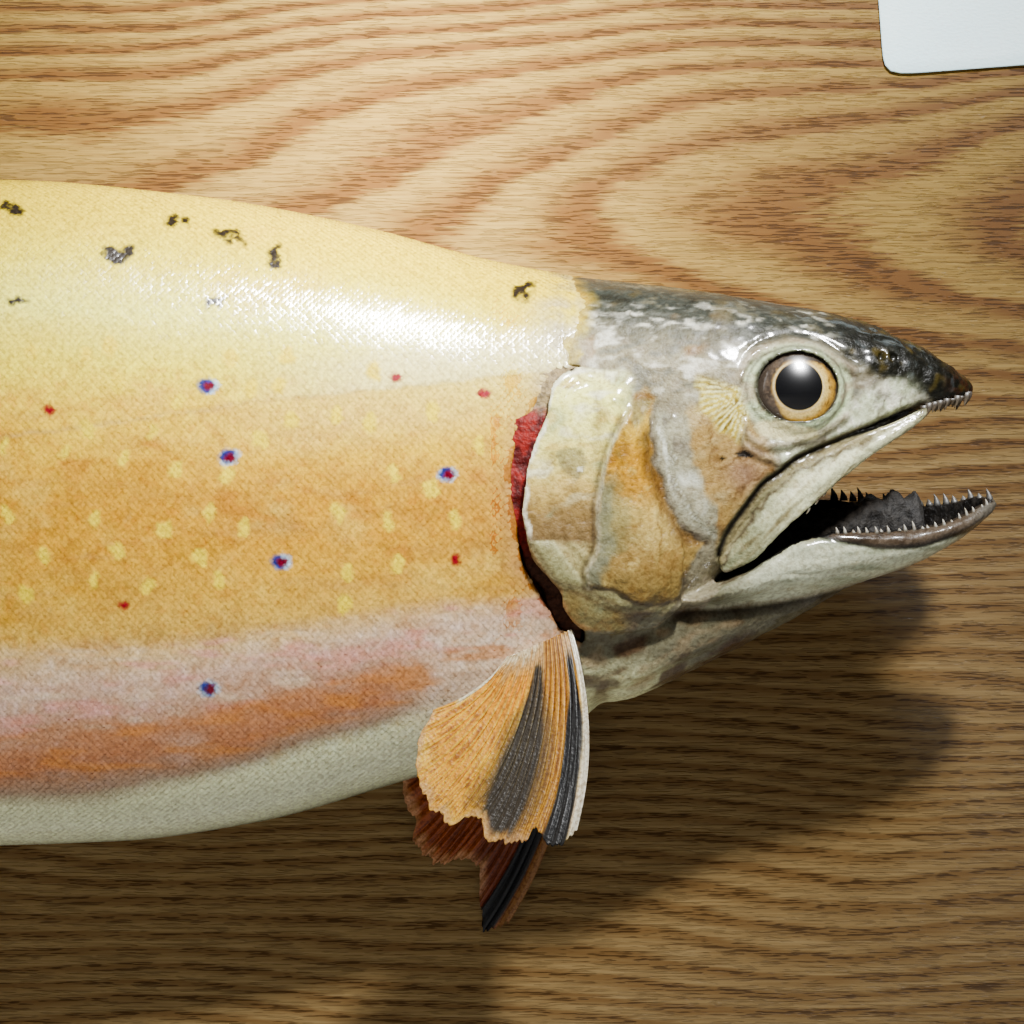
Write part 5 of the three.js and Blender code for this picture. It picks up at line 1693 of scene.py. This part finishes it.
strap_rows = make_teeth("teeth_maxilla", feet, random.uniform(0.7, 1.1, 28), -np.ones(28),
                        lean=0.5, radius=0.34, tint=(0.60, 0.58, 0.44))
bone, shader, start, where = new_material("tooth_bone", Roughness=0.6, Coat_Weight=0.08,
                                          Coat_Roughness=0.3, Specular_IOR_Level=0.3)
ivory = painted(start)
feed(shader, "Base Color", ivory.mix(ivory.times(0.6, 0.5, 0.4),
                                     where.blobs(1500.0, 2.0).step(0.45, 0.65)))
for piece in (near_row, far_row, upper_row, strap_rows):
    piece.data.materials.append(bone)
print("teeth:", 21 + 19 + 21 + 28)

# %% [markdown]
# ## Tongue and gills
#
# Both are soft parts that shrivelled before they were painted: the tongue to a black knobbly
# strip, the gill filaments to a red comb. A distance field with noise in it gives such
# lumps, through the same surface net as the head.

# %% Tongue
tongue_top = curve((10.6, 1.5), (12.0, 4.6), (14.5, 3.2), (17, 5.4), (19, 3.0), (21.5, 3.6),
                   (26, 1.6), (42, -2))
axes = (np.arange(8.5, 45, 0.4), np.arange(-9, 9.1, 0.4), np.arange(-16, 9, 0.4))
u, w, z = np.meshgrid(*axes, indexing="ij")
shape, _ = tube(w, z, 4.6 + (u - 10.6) * 0.09, tongue_top(u), jaw_under(u) + 3.0, 2.4, 2.4)
shape = shape + 1.5 * noise(u, w, z, size=3.0, seed=61, octaves=2)
shape = shape + 0.6 * noise(u, w, z * 0.4, size=1.2, seed=62)
points, quads = surface_net(capped(shape, 10.4, 43.0, u, 2.0).astype(np.float32), axes)
tongue_piece = make_object("dried_tongue", place(*relax(points, quads, 2).T), quads)
leather, shader, start, where = new_material("dried_tongue_skin", Coat_Weight=0.0,
                                             Coat_Roughness=0.3, Roughness=0.75,
                                             Specular_IOR_Level=0.12)
dark = start.node("ValToRGB", {"Fac": where.blobs(700.0, 3.0)}, stops=[
    (0.3, (0.006, 0.005, 0.0045)), (0.75, (0.034, 0.029, 0.024))])
feed(shader, "Base Color", dark)
feed(shader, "Normal", bump(start, where.blobs(1800.0, 3.0), 0.0004))
tongue_piece.data.materials.append(leather)
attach(tongue_piece, "root")
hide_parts("tongue")


# %% Gills
def gill_field(u, w, z):
    side = np.abs(w)
    flank, _ = tube(w, z, half(u) - INSET, back(u) - INSET, belly(u) + INSET, round_top(u),
                    round_low(u))
    slit = inside_outline(u[:, 0, :], z[:, 0, :], GILL_SLIT)[:, None, :]
    clump = noise(u * 0.5 + 0.3 * z, w, z, size=3.2, seed=63, octaves=2)
    strand = noise(u * 0.25, w * 0.5, z + 0.4 * u, size=1.1, seed=64, octaves=2)
    lumps = 0.4 + 0.9 * clump + 0.45 * strand
    upper = ramp(z, -8, 0)
    outer = flank + 1.7 - 1.1 * upper - 0.9 * lumps
    reach = 0.9 - 2.4 * upper - 0.9 * lumps - slit
    body = np.maximum(np.maximum(outer, -(flank + 7.2)), np.maximum(reach, 84.0 - u))
    return np.maximum(body, 10.0 - side)


gill_cell = 0.45
for name, side in (("right", 1), ("left", -1)):
    axes = (np.arange(82.6, 102, gill_cell), np.arange(8, 37, gill_cell) * side,
            np.arange(-29, 32, gill_cell))
    if side < 0:
        axes = (axes[0], axes[1][::-1], axes[2])
    u, w, z = np.meshgrid(*axes, indexing="ij")
    points, quads = surface_net(gill_field(u, w, z).astype(np.float32), axes)
    points = relax(points, quads, 1)
    gill_u, gill_w, gill_z = points.T
    # Painted shade: the comb is bright red only near the opening, dark red deeper in and dark brown low
    # down.
    deep = 1 - ramp(side_width(gill_u, gill_z) - np.abs(gill_w), 2.0, 4.0)
    gill_noise = noise(gill_u, gill_w, gill_z, size=2.5, seed=90)
    red = over(np.tile((0.07, 0.010, 0.007), (len(points), 1)), (0.26, 0.012, 0.008), deep)
    darker = noise(gill_u, gill_w, gill_z, size=1.6, seed=65)
    red = over(red, (0.09, 0.005, 0.004), ramp(darker, 0, 0.6))
    red = over(red, (0.07, 0.025, 0.013), ramp(-gill_z, 4, 12))
    red = over(red, (0.34, 0.25, 0.12), ramp(gill_z + gill_noise, 20.5, 22.5))
    gills = make_object(f"gill_comb_{name}", place(*points.T), quads, paint=red)
    if name == "right":
        gill_red, shader, start, where = new_material("gill_red", Coat_Weight=0.03,
                                                      Coat_Roughness=0.3, Roughness=0.6,
                                                      Specular_IOR_Level=0.08)
        flesh = painted(start)
        feed(shader, "Base Color", flesh.mix(flesh.times(0.5, 0.5, 0.5),
                                             where.blobs(900.0, 3.0).step(0.4, 0.65)))
        feed(shader, "Normal", bump(start, where.blobs(1300.0, 3.0), 0.0004))
    gills.data.materials.append(gill_red)
    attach(gills, "root")
    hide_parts(f"gills_{name}")
print("gills and tongue made")

# %% [markdown]
# ## Fins
#
# A fin is a fan of bony rays joined by membrane. The rays are stiff ridges that fork toward
# their ends, and the membrane between them is thin and dries frayed. Each fin is a grid:
# one direction runs from the leading edge to the trailing one, the other along the rays.
# The thickness swells at each ray, and the edge is cut back a little between the rays.

# %% Fin builder
def fin_grid(sizes, columns, rows, tattered):
    s, t = np.meshgrid(np.linspace(0, 1, columns), np.linspace(0, 1, rows), indexing="ij")
    rays = sizes["rays"]
    drift = 0.25 * noise(s * 3, t * 0.6, size=1.0, seed=sizes["seed"])
    place_in_ray = s * rays + drift
    fork = ramp(t, 0.30, 0.55)
    single = 0.5 + 0.5 * np.cos(2 * np.pi * place_in_ray)
    double = 0.5 + 0.5 * np.cos(4 * np.pi * place_in_ray)
    quad = 0.5 + 0.5 * np.cos(8 * np.pi * place_in_ray)
    last_fork = ramp(t, 0.62, 0.9)
    ridge = single * (1 - fork) + (double * (1 - last_fork) + quad * last_fork) * fork
    edge = s[:, -1:]
    fray = 0.5 + 0.5 * noise(edge * rays * 2.0, 0.0, size=1.0, seed=sizes["seed"] + 1, octaves=3)
    between = 0.5 - 0.5 * np.cos(2 * np.pi * edge * rays * 2)
    torn = ramp(noise(edge * 9.0, 0.0, size=1.0, seed=sizes["seed"] + 7, octaves=2), -0.1, 0.7)
    cut = tattered * (0.35 * fray**1.5 + 0.15 * between * fray + 0.75 * torn)
    reach = sizes["length"](s) * t * (1 - cut * ramp(t, 0.55, 1.0))
    lean = sizes["angles"]
    lean = lean(s) if callable(lean) else lean[0] + (lean[1] - lean[0]) * s
    angle = np.radians(lean + sizes["curl"] * t)
    (u0, z0), (u1, z1) = sizes["root"]
    u = u0 + (u1 - u0) * s + reach * np.cos(angle)
    z = z0 + (z1 - z0) * s + reach * np.sin(angle)
    w = sizes["side"](s, t, reach)
    ripple = sizes["ripple"] * np.sin(2 * np.pi * place_in_ray) * ramp(t, 0.05, 0.5)
    buckle = sizes["buckle"] * noise(s * 4, t * 2, size=1.0, seed=sizes["seed"] + 2, octaves=2)
    w = w + ripple + buckle * ramp(t, 0.3, 1.0)
    thick = sizes["thick"][0] + (sizes["thick"][1] - sizes["thick"][0]) * np.minimum(t * 1.15, 1)
    thick = thick * (0.55 + 0.45 * ridge)
    thick = thick * (1 - 0.7 * ramp(t, 0.9, 1.0))
    return s, t, u, w, z, thick, ridge


def build_fin(name, sizes, colours, columns, rows, tattered=0.15):
    s, t, u, w, z, thick, ridge = fin_grid(sizes, columns, rows, tattered)
    middle = place(u, w, z) / MM
    along = np.gradient(middle, axis=0)
    outward = np.cross(along, np.gradient(middle, axis=1))
    outward /= np.maximum(np.linalg.norm(outward, axis=2), 1e-9)[..., None]
    right_way = -np.sign(outward[..., 1].mean())
    outward *= right_way
    near = (middle + outward * 0.5 * thick[..., None]).reshape(-1, 3)
    far = (middle - outward * 0.5 * thick[..., None]).reshape(-1, 3)
    points = np.concatenate([near, far])
    points[:, 1] = np.minimum(points[:, 1], -(BOARD_THICK + 0.35))
    i, j = np.meshgrid(np.arange(columns - 1), np.arange(rows - 1), indexing="ij")
    a = (i * rows + j).ravel()
    front = np.stack([a, a + rows, a + rows + 1, a + 1], axis=1)
    shift = columns * rows
    back_side = front[:, ::-1] + shift
    rim = np.concatenate([np.arange(columns) * rows, (columns - 1) * rows + np.arange(1, rows),
                          (np.arange(columns - 2, -1, -1)) * rows + rows - 1,
                          np.arange(rows - 2, 0, -1)])
    after = np.roll(rim, -1)
    wall = np.stack([after, rim, rim + shift, after + shift], axis=1)
    faces = np.concatenate([front, back_side, wall])
    a, b, c = (points[faces[:, k]] for k in (0, 1, 2))
    normal = np.cross(b - a, c - a)[: len(front)].mean(axis=0)
    if normal @ outward.reshape(-1, 3).mean(axis=0) < 0:
        faces = faces[:, ::-1]
    colour = colours(s.ravel(), t.ravel(), u.ravel(), z.ravel(), ridge.ravel()) ** VARNISH
    piece = make_object(name, points * MM, np.ascontiguousarray(faces),
                        paint=np.concatenate([colour, colour * 0.92]))
    piece.data.materials.append(fin_skin)
    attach(piece, "root")
    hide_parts(name.replace("rayed_", ""))


fin_skin, shader, start, where = new_material("dried_fin", Coat_Weight=0.35, IOR=1.45,
                                              Coat_Roughness=0.22, Specular_IOR_Level=0.1)
fin_paint = painted(start)
grain = where.blobs(1400.0, 3.0)
feed(shader, "Base Color", fin_paint.mix(fin_paint.times(0.6, 0.52, 0.42),
                                         grain.step(0.42, 0.68)))
feed(shader, "Roughness", 0.34 + 0.3 * grain)
feed(shader, "Normal", bump(start, grain, 0.0003))


# %% Fin colours
def lower_fin_colours(warm, dark_band, pale_edge=(0.92, 0.90, 0.80)):
    """White leading edge, a blue-black stripe, then orange rays: the brook trout's badge."""
    def colours(s, t, u, z, ridge):
        n = noise(s * 30, t * 5, size=1.0, seed=71, octaves=3)
        fine = noise(s * 90, t * 14, size=1.0, seed=72, octaves=2)
        edge = s + 0.012 * n
        lay = Coats(np.tile(warm, (len(s), 1)))
        patch = noise(s * 9, t * 5, size=1.0, seed=74, octaves=3)
        lay(np.array(warm) * np.array((0.62, 0.52, 0.3)), 0.75 * ramp(fine, 0.0, 0.5))
        lighter = np.minimum(np.array(warm) * np.array((1.3, 1.45, 3.0)), 1)
        lay(lighter, 0.65 * ramp(ridge, 0.5, 1.0) * ramp(t, 0.1, 0.4))
        lay(lighter, 0.45 * ramp(patch, 0.1, 0.5))
        base = 1 - ramp(t + 0.10 * n, 0.08, 0.24)
        lay(np.array(warm) * 0.4 + 0.35, 0.8 * base)
        gold = window(edge, 0.17, 0.40, 0.03)
        lay(np.array(warm) * np.array((0.86, 0.92, 3.2)), 0.75 * gold)
        lay(np.array(warm) * np.array((0.42, 0.36, 0.8)), 0.75 * gold * (1 - ridge))
        if dark_band:
            wide = 0.035 + 0.085 * ramp(t, 0.1, 0.5) * (1 - 0.5 * ramp(t, 0.8, 0.98))
            middle = 0.50 - 0.05 * t
            band = 1 - ramp(np.abs(edge - middle) + 0.03 * n, wide * 0.75, wide * 1.25)
            band = band * window(t, 0.13, 0.93, 0.05)
            lay((0.03, 0.032, 0.03), (0.97 - 0.35 * ramp(ridge, 0.6, 1) * (1 - t)) * band)
            grey = 1 - ramp(np.abs(edge - middle) + 0.03 * n, wide * 1.2, wide * 2.0)
            lay((0.22, 0.19, 0.15), 0.55 * grey * window(t, 0.15, 0.95, 0.05))
        stripe_wide = 0.028 + 0.030 * ramp(t, 0.1, 0.5)
        stripe = 1 - ramp(np.abs(edge - 0.105 - 0.02 * t), stripe_wide, stripe_wide + 0.015)
        stripe = stripe * ramp(t, 0.06, 0.15)
        lay((0.025, 0.032, 0.045), 0.97 * stripe)
        lay(pale_edge, 0.95 * (1 - ramp(edge, 0.04, 0.06 + 0.012 * t)))
        tip = ramp(t + 0.05 * n, 0.93, 1.0)
        lay((0.74, 0.55, 0.38), 0.6 * tip * ramp(s, 0.2, 0.3))
        rear = ramp(edge, 0.955, 0.985) * (1 - ramp(t, 0.62, 0.74))
        lay((0.96, 0.96, 0.82), 0.9 * rear)
        ragged_base = ramp(n - 9 * t + 1.6 * s, 0.3, 0.9) * ramp(s, 0.35, 0.6)
        lay((0.86, 0.80, 0.64), 0.8 * ragged_base)
        return lay.colour
    return colours


def upper_fin_colours(s, t, u, z, ridge):
    """Olive rays with wavy dark bars, for the back and the tail."""
    n = noise(s * 8, t * 6, size=1.0, seed=73, octaves=3)
    colour = np.tile((0.42, 0.33, 0.12), (len(s), 1))
    colour = over(colour, (0.60, 0.45, 0.18), 0.6 * ramp(ridge, 0.3, 1.0))
    bars = ramp(np.sin(u * 0.55 + 3.5 * n) + 0.5 * np.sin(z * 0.45 + 3 * n), 0.35, 0.8)
    colour = over(colour, (0.07, 0.06, 0.04), 0.85 * bars * ramp(t, 0.05, 0.2))
    return over(colour, (0.62, 0.50, 0.30), 0.5 * ramp(t, 0.93, 1.0))


def tail_colours(s, t, u, z, ridge):
    colour = upper_fin_colours(s, t, u, z, ridge)
    colour = over(colour, (0.60, 0.26, 0.08), 0.5 * ramp(s, 0.45, 0.95) * ramp(t, 0.1, 0.6))
    return over(colour, (0.74, 0.72, 0.62), 0.8 * ramp(s, 0.965, 0.985))


# %% All the fins
ORANGE = (0.92, 0.55, 0.03)
build_fin("rayed_pectoral_fin_right", {
    "root": ((86, -25), (99.5, -31)), "curl": 16, "rays": 19, "seed": 80,
    "angles": curve((0, -107), (0.3, -96.5), (0.5, -88), (0.65, -80), (0.8, -70), (0.9, -60),
                    (1, -50)),
    "length": curve((0, 43), (0.1, 44), (0.3, 43.5), (0.5, 42.5), (0.65, 41), (0.8, 36.5),
                    (0.9, 29), (1, 20.5)),
    "side": lambda s, t, reach: 26 + reach * (0.42 - 0.2 * s),
    "thick": (2.2, 0.5), "ripple": 0.16, "buckle": 1.0},
    lower_fin_colours(ORANGE, True), 360, 110, tattered=0.11)
# The far pectoral fin is painted in darker orange with a dim edge: painted shade, as it lies behind the
# body.
build_fin("rayed_pectoral_fin_left", {
    "root": ((86, -27), (100, -31)), "curl": 20, "rays": 19, "seed": 84,
    "angles": curve((0, -98.5), (0.1, -95.5), (0.35, -93.5), (0.5, -88.5), (0.75, -83.5),
                    (0.9, -79), (1, -71.8)),
    "length": curve((0, 70), (0.08, 71.5), (0.2, 65), (0.35, 59), (0.5, 57.5), (0.75, 53),
                    (0.9, 47.8), (1, 40.7)),
    "side": lambda s, t, reach: -25.5 - reach * 0.2 - 1.5 * s,
    "thick": (2.2, 0.5), "ripple": 0.3, "buckle": 0.6},
    lower_fin_colours((0.42, 0.15, 0.02), False, (0.42, 0.26, 0.12)), 240, 90,
    tattered=0.10)
for name, side, seed in (("right", 1, 88), ("left", -1, 92)):
    lean = 0.30 if side > 0 else 0.26
    out = 17 if side > 0 else 15
    angles = (-58, -26) if side > 0 else (-62, -30)
    build_fin(f"rayed_pelvic_fin_{name}", {
        "root": ((246, -66), (260, -66)), "angles": angles, "curl": 6, "rays": 10, "seed": seed,
        "length": curve((0, 40), (0.2, 52), (0.6, 44), (1, 28)),
        "side": lambda s, t, reach, side=side, out=out, lean=lean: side * (out + reach * lean),
        "thick": (2.2, 0.5), "ripple": 0.3, "buckle": 0.5},
        lower_fin_colours(ORANGE, False), 200, 70, tattered=0.10)
build_fin("rayed_anal_fin", {
    "root": ((326, -49), (374, -33)), "angles": (-72, -34), "curl": 8, "rays": 11, "seed": 96,
    "length": curve((0, 40), (0.18, 60), (0.4, 52), (0.75, 36), (1, 26)),
    "side": lambda s, t, reach: 1.5 * np.sin(t * 2.6), "thick": (2.0, 0.5), "ripple": 0.3,
    "buckle": 0.5}, lower_fin_colours(ORANGE, False), 240, 80, tattered=0.10)
build_fin("rayed_dorsal_fin", {
    "root": ((214, 68), (284, 58)), "angles": (66, 32), "curl": -10, "rays": 13, "seed": 100,
    "length": curve((0, 34), (0.16, 61), (0.35, 57), (0.7, 42), (1, 32)),
    "side": lambda s, t, reach: 2.5 * np.sin(t * 2.2) * (0.4 + s), "thick": (2.2, 0.5),
    "ripple": 0.3, "buckle": 0.5}, upper_fin_colours, 280, 80, tattered=0.08)
build_fin("rayed_caudal_fin", {
    "root": ((447, 24), (447, -25)), "angles": (27, -27), "curl": 0, "rays": 19, "seed": 104,
    "length": curve((0, 87), (0.2, 81), (0.5, 74), (0.8, 81), (1, 87)),
    "side": lambda s, t, reach: 1.6 * np.sin(s * 9) * t, "thick": (3.6, 0.5), "ripple": 0.3,
    "buckle": 0.6}, tail_colours, 380, 100, tattered=0.07)
build_fin("rayed_adipose_fin", {
    "root": ((368, 30), (380, 27)), "angles": (56, 24), "curl": -18, "rays": 3, "seed": 108,
    "length": curve((0, 20), (0.5, 25), (1, 21)), "side": lambda s, t, reach: 0 * s,
    "thick": (2.4, 0.9), "ripple": 0.0, "buckle": 0.1}, upper_fin_colours, 60, 50, tattered=0.0)
print("fins made")

# %% [markdown]
# ## The oak board
#
# The board is flat-sawn oak. A tree is a stack of cones, one for each year, and a flat cut
# through them shows long bands that close into pointed arches where the cut grazes a ring.
# So the pattern is worked out in space: the distance from the tree's own axis, wavy and
# stretched along the grain, is turned into rings. Oak's pores are the short dark dashes.

# %% Oak
ARCH_HEIGHT = 0.064
ARCH_TIP = 0.179
LOG_DEPTH = 0.058
LOG_SLOPE = 0.091
RING_SPACING = 0.0042

oak, shader, start, where = new_material("oak", IOR=1.45, Specular_IOR_Level=0.06)
wood_x, wood_y, wood_z = where.parts()
sway = where.stretch(7.0, 7.0, 16.0).blobs(1.0, 1.0, 0.5)
sway_fine = where.stretch(30.0, 60.0, 110.0).blobs(1.0, 2.0, 0.6)
ragged = where.stretch(90.0, 400.0, 1300.0).blobs(1.0, 2.0, 0.6)
down = wood_z - ARCH_HEIGHT + (sway - 0.5) * 0.034
deep = LOG_DEPTH + LOG_SLOPE * (ARCH_TIP - wood_x) + wood_y + (sway - 0.5) * 0.008
rings = (down * down + deep * deep) ** 0.5 / RING_SPACING
rings = rings + (sway_fine - 0.5) * 0.5 + (ragged - 0.5) * 0.5
phase = rings.maths("FRACT", rings)
early = phase.step(0.0, 0.22) * (1 - phase.step(0.30, 0.85))
wide = where.stretch(3.0, 3.0, 30.0).blobs(1.0, 2.0, 0.6)
dashes = (where.stretch(190.0, 1800.0, 3000.0).blobs(1.0, 1.0, 0.6) - 0.50).step(0.03, 0.13)
pores = dashes * (early * 0.85 + 0.30)
fleck = where.stretch(45.0, 500.0, 1900.0).blobs(1.0, 3.0, 0.6)
plain = start.node("ValToRGB", {"Fac": fleck}, stops=[
    (0.30, (0.190, 0.116, 0.046)), (0.50, (0.250, 0.163, 0.064)), (0.72, (0.32, 0.220, 0.096))])
# Toward the top, where the lamp's beam is brightest, the wood is painted yellower: painted light.
plain = plain.mix(plain.times(0.98, 0.93, 0.50), wood_z.step(-0.02, 0.07))
line_strength = 0.58 + 0.40 * wood_z.step(-0.04, 0.05)
wood = plain.mix((0.122, 0.052, 0.011, 1), early * line_strength)
wood = wood.mix((0.17, 0.092, 0.026, 1), wide.step(0.52, 0.75) * 0.35)
wood = wood.mix((0.042, 0.019, 0.006, 1), pores * 0.72)
feed(shader, "Base Color", wood)
feed(shader, "Roughness", 0.40 + 0.25 * fleck + 0.2 * pores)
feed(shader, "Normal", bump(start, 1.0 - dashes * 0.55, 0.00022))
board = bpy.data.objects["board"]
board.data.materials.clear()
board.data.materials.append(oak)

# %% [markdown]
# ## Label and screws
#
# A blank paper label with rounded corners is glued to the board, and lifts a little at its
# edges. Two countersunk screws come through the board from behind to hold the fish.

# %% Label
LABEL = {"wide": 63.5, "high": 38.1, "corner": 4.0, "tilt": 4.3, "x": 283.1, "z": 120.9}


def rounded_point(angle, inset):
    """A point of a rounded rectangle, seen from its middle."""
    c, s = math.cos(angle), math.sin(angle)
    wide, high = LABEL["wide"] / 2 - inset, LABEL["high"] / 2 - inset
    power = 14
    reach = (abs(c / wide) ** power + abs(s / high) ** power) ** (-1 / power)
    return reach * c, reach * s


label_points = []
spokes = 128
tilt = math.radians(LABEL["tilt"])
for level, inset in ((0.10, 0.15), (0.45, 0.0), (0.55, 0.25), (0.58, 3.0), (0.58, 8.0), (0.58, 16.0)):
    for k in range(spokes):
        angle = 2 * math.pi * k / spokes
        x, z = rounded_point(angle, inset)
        to_end = abs(x) / (LABEL["wide"] / 2)
        curl = 0.35 * max(0.0, to_end**6 + 0.6 * (abs(z) / 19) ** 8 - 0.2)
        label_points.append(((LABEL["x"] + x * math.cos(tilt) - z * math.sin(tilt)) * MM,
                             -(BOARD_THICK + 0.3 + level + curl * 0.6) * MM,
                             (LABEL["z"] + x * math.sin(tilt) + z * math.cos(tilt)) * MM))
label_faces = ring_quads(6, spokes)
label_faces.append(tuple(range(5 * spokes, 6 * spokes)))
label_faces.append(tuple(range(0, spokes))[::-1])
label = make_object("paper_label_blank", label_points, label_faces)
paper, shader, start, where = new_material("label_paper", Roughness=0.62)
fibre = where.stretch(900.0, 900.0, 1600.0).blobs(1.0, 3.0)
smudge = where.blobs(60.0, 3.0)
sheet = start.node("ValToRGB", {"Fac": smudge}, stops=[
    (0.35, (0.62, 0.90, 0.98)), (0.65, (0.68, 0.94, 1.0))])
feed(shader, "Base Color", sheet.mix((0.60, 0.64, 0.68, 1), fibre.step(0.5, 0.75) * 0.35))
feed(shader, "Normal", bump(start, fibre, 0.00008))
label.data.materials.append(paper)
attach(label, "root")
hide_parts("label_blank")

# %% Screws
steel, shader, start, where = new_material("screw_steel", Metallic=1.0)
scratch = where.stretch(2200.0, 300.0, 300.0).blobs(1.0, 3.0)
feed(shader, "Base Color", start.node("ValToRGB", {"Fac": scratch}, stops=[
    (0.3, (0.38, 0.37, 0.35)), (0.7, (0.62, 0.61, 0.58))]))
feed(shader, "Roughness", 0.28 + 0.3 * scratch)
for number, (x, z) in enumerate(((SNOUT_X - 170, 8), (SNOUT_X - 262, 2)), 1):
    profile = [(0.0, -2.6), (0.6, -2.6), (0.9, -1.2), (3.2, -1.05), (4.7, -1.1), (5.0, -1.35),
               (4.9, -1.7), (2.2, -4.4)]
    for turn in range(20):
        y = -5.0 - turn * 1.35
        profile += [(1.75, y), (2.2, y - 0.45), (2.2, y - 0.62)]
    profile += [(1.6, -32.2), (0.0, -34.0)]
    points = []
    spokes = 32
    for radius, y in profile:
        for k in range(spokes):
            angle = 2 * math.pi * k / spokes
            points.append(((x + radius * math.cos(angle)) * MM, y * MM,
                           (z + radius * math.sin(angle)) * MM))
    screw = make_object(f"steel_screw_{number}", points, ring_quads(len(profile), spokes))
    screw.data.materials.append(steel)
    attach(screw, "root")
    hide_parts(f"mount_screw_{number}")
print("label and screws made")

# %% [markdown]
# ## Light, floor and camera
#
# One lamp stands above and a little to the right. Its beam is brightest on the back of the
# fish and fades away from there. A small lamp beside it gives the wet highlights alone, and
# large dim panels fill the shadows and show the other sides. The camera frames a strip of
# the fish that is `VIEW_WIDE` metres wide, measured on a plane through the flank. The floor
# is a plain pale sheet below the board.

# %% Stage
def aim(thing, target):
    direction = Vector(target) - thing.location
    thing.rotation_euler = direction.to_track_quat("-Z", "Y").to_euler()


def area_light(name, at, target, watts, size, colour=(1, 1, 1)):
    light = bpy.data.lights.new(name, "AREA")
    light.energy = watts
    light.size = size
    light.color = colour
    lamp = bpy.data.objects.new(name, light)
    bpy.context.scene.collection.objects.link(lamp)
    lamp.location = at
    aim(lamp, target)
    return lamp


HOT_SPOT = (0.142, -0.02, 0.088)
BEAM_HALF = 0.085

key = bpy.data.lights.new("key_lamp", "SPOT")
key.energy = 215.0
key.shadow_soft_size = 0.026
key.spot_size = math.radians(100)
key.spot_blend = 0.4
key.color = (1.0, 0.985, 0.95)
key.use_nodes = True
beam = Flow(key.node_tree)
across, up_beam, ahead = beam.node("TexCoord", out=1).parts()
slant = (across * across + up_beam * up_beam) / (ahead * ahead)
feed(key.node_tree.nodes["Emission"], "Strength", 1.0 / (1.0 + slant * (1.0 / BEAM_HALF**2)))
key_lamp = bpy.data.objects.new("key_lamp", key)
bpy.context.scene.collection.objects.link(key_lamp)
key_lamp.location = (0.285, -0.53, 0.42)
aim(key_lamp, HOT_SPOT)
front_fill = area_light("front_fill", (-0.35, -1.3, 0.35), (0.1, 0.0, 0.0), 1.2, 0.9,
                        (1.0, 0.99, 0.97))
low_fill = area_light("low_fill", (0.10, -0.42, -0.235), (0.12, -0.05, -0.05), 0.40, 0.5,
                      (1.0, 0.99, 0.95))
gloss_lamp = area_light("gloss_lamp", (0.295, -0.41, 0.42), (0.16, -0.08, 0.04), 40.0, 0.10)
gloss_lamp.visible_diffuse = False
for lamp in (key_lamp, front_fill, low_fill):
    lamp.visible_glossy = False
area_light("back_fill", (0.2, 1.4, 0.6), (0.0, 0.0, 0.0), 16.0, 1.2)
area_light("tail_fill", (-1.3, -0.5, 0.5), (-0.1, -0.05, 0.0), 5.0, 0.9)

world = bpy.data.worlds.new("studio")
bpy.context.scene.world = world
world.use_nodes = True
world.node_tree.nodes["Background"].inputs["Color"].default_value = (0.9, 0.93, 1.0, 1)
world.node_tree.nodes["Background"].inputs["Strength"].default_value = 0.05

FLOOR_SIDE = 6
FLOOR_Z = -0.25
floor_points = []
floor_faces = []
cells = 24
for i in range(cells + 1):
    for j in range(cells + 1):
        floor_points.append(((i / cells - 0.5) * FLOOR_SIDE, (j / cells - 0.5) * FLOOR_SIDE,
                             FLOOR_Z))
for i in range(cells):
    for j in range(cells):
        a = i * (cells + 1) + j
        floor_faces.append((a, a + cells + 1, a + cells + 2, a + 1))
floor = make_object("studio_floor", floor_points, floor_faces)
pale, shader, start, where = new_material("pale_floor", Roughness=0.7)
feed(shader, "Base Color", start.node("ValToRGB", {"Fac": where.blobs(3.0, 3.0)}, stops=[
    (0.3, (0.70, 0.69, 0.67)), (0.7, (0.76, 0.75, 0.73))]))
floor.data.materials.append(pale)

SENSOR = 36.0
VIEW_DISTANCE = 0.900
VIEW_WIDE = 0.22528
FLANK_PLANE = 0.052

camera = bpy.data.cameras.new("view")
camera.sensor_width = SENSOR
camera.lens = SENSOR * VIEW_DISTANCE / VIEW_WIDE
camera.clip_start = 0.05
camera.clip_end = 20.0
viewer = bpy.data.objects.new("view", camera)
bpy.context.scene.collection.objects.link(viewer)
viewer.location = (0.168, -(FLANK_PLANE + VIEW_DISTANCE), 0.0)
viewer.rotation_euler = (math.pi / 2, 0, 0)
bpy.context.scene.camera = viewer
print("camera", round(viewer.location.y, 3), "m in front")
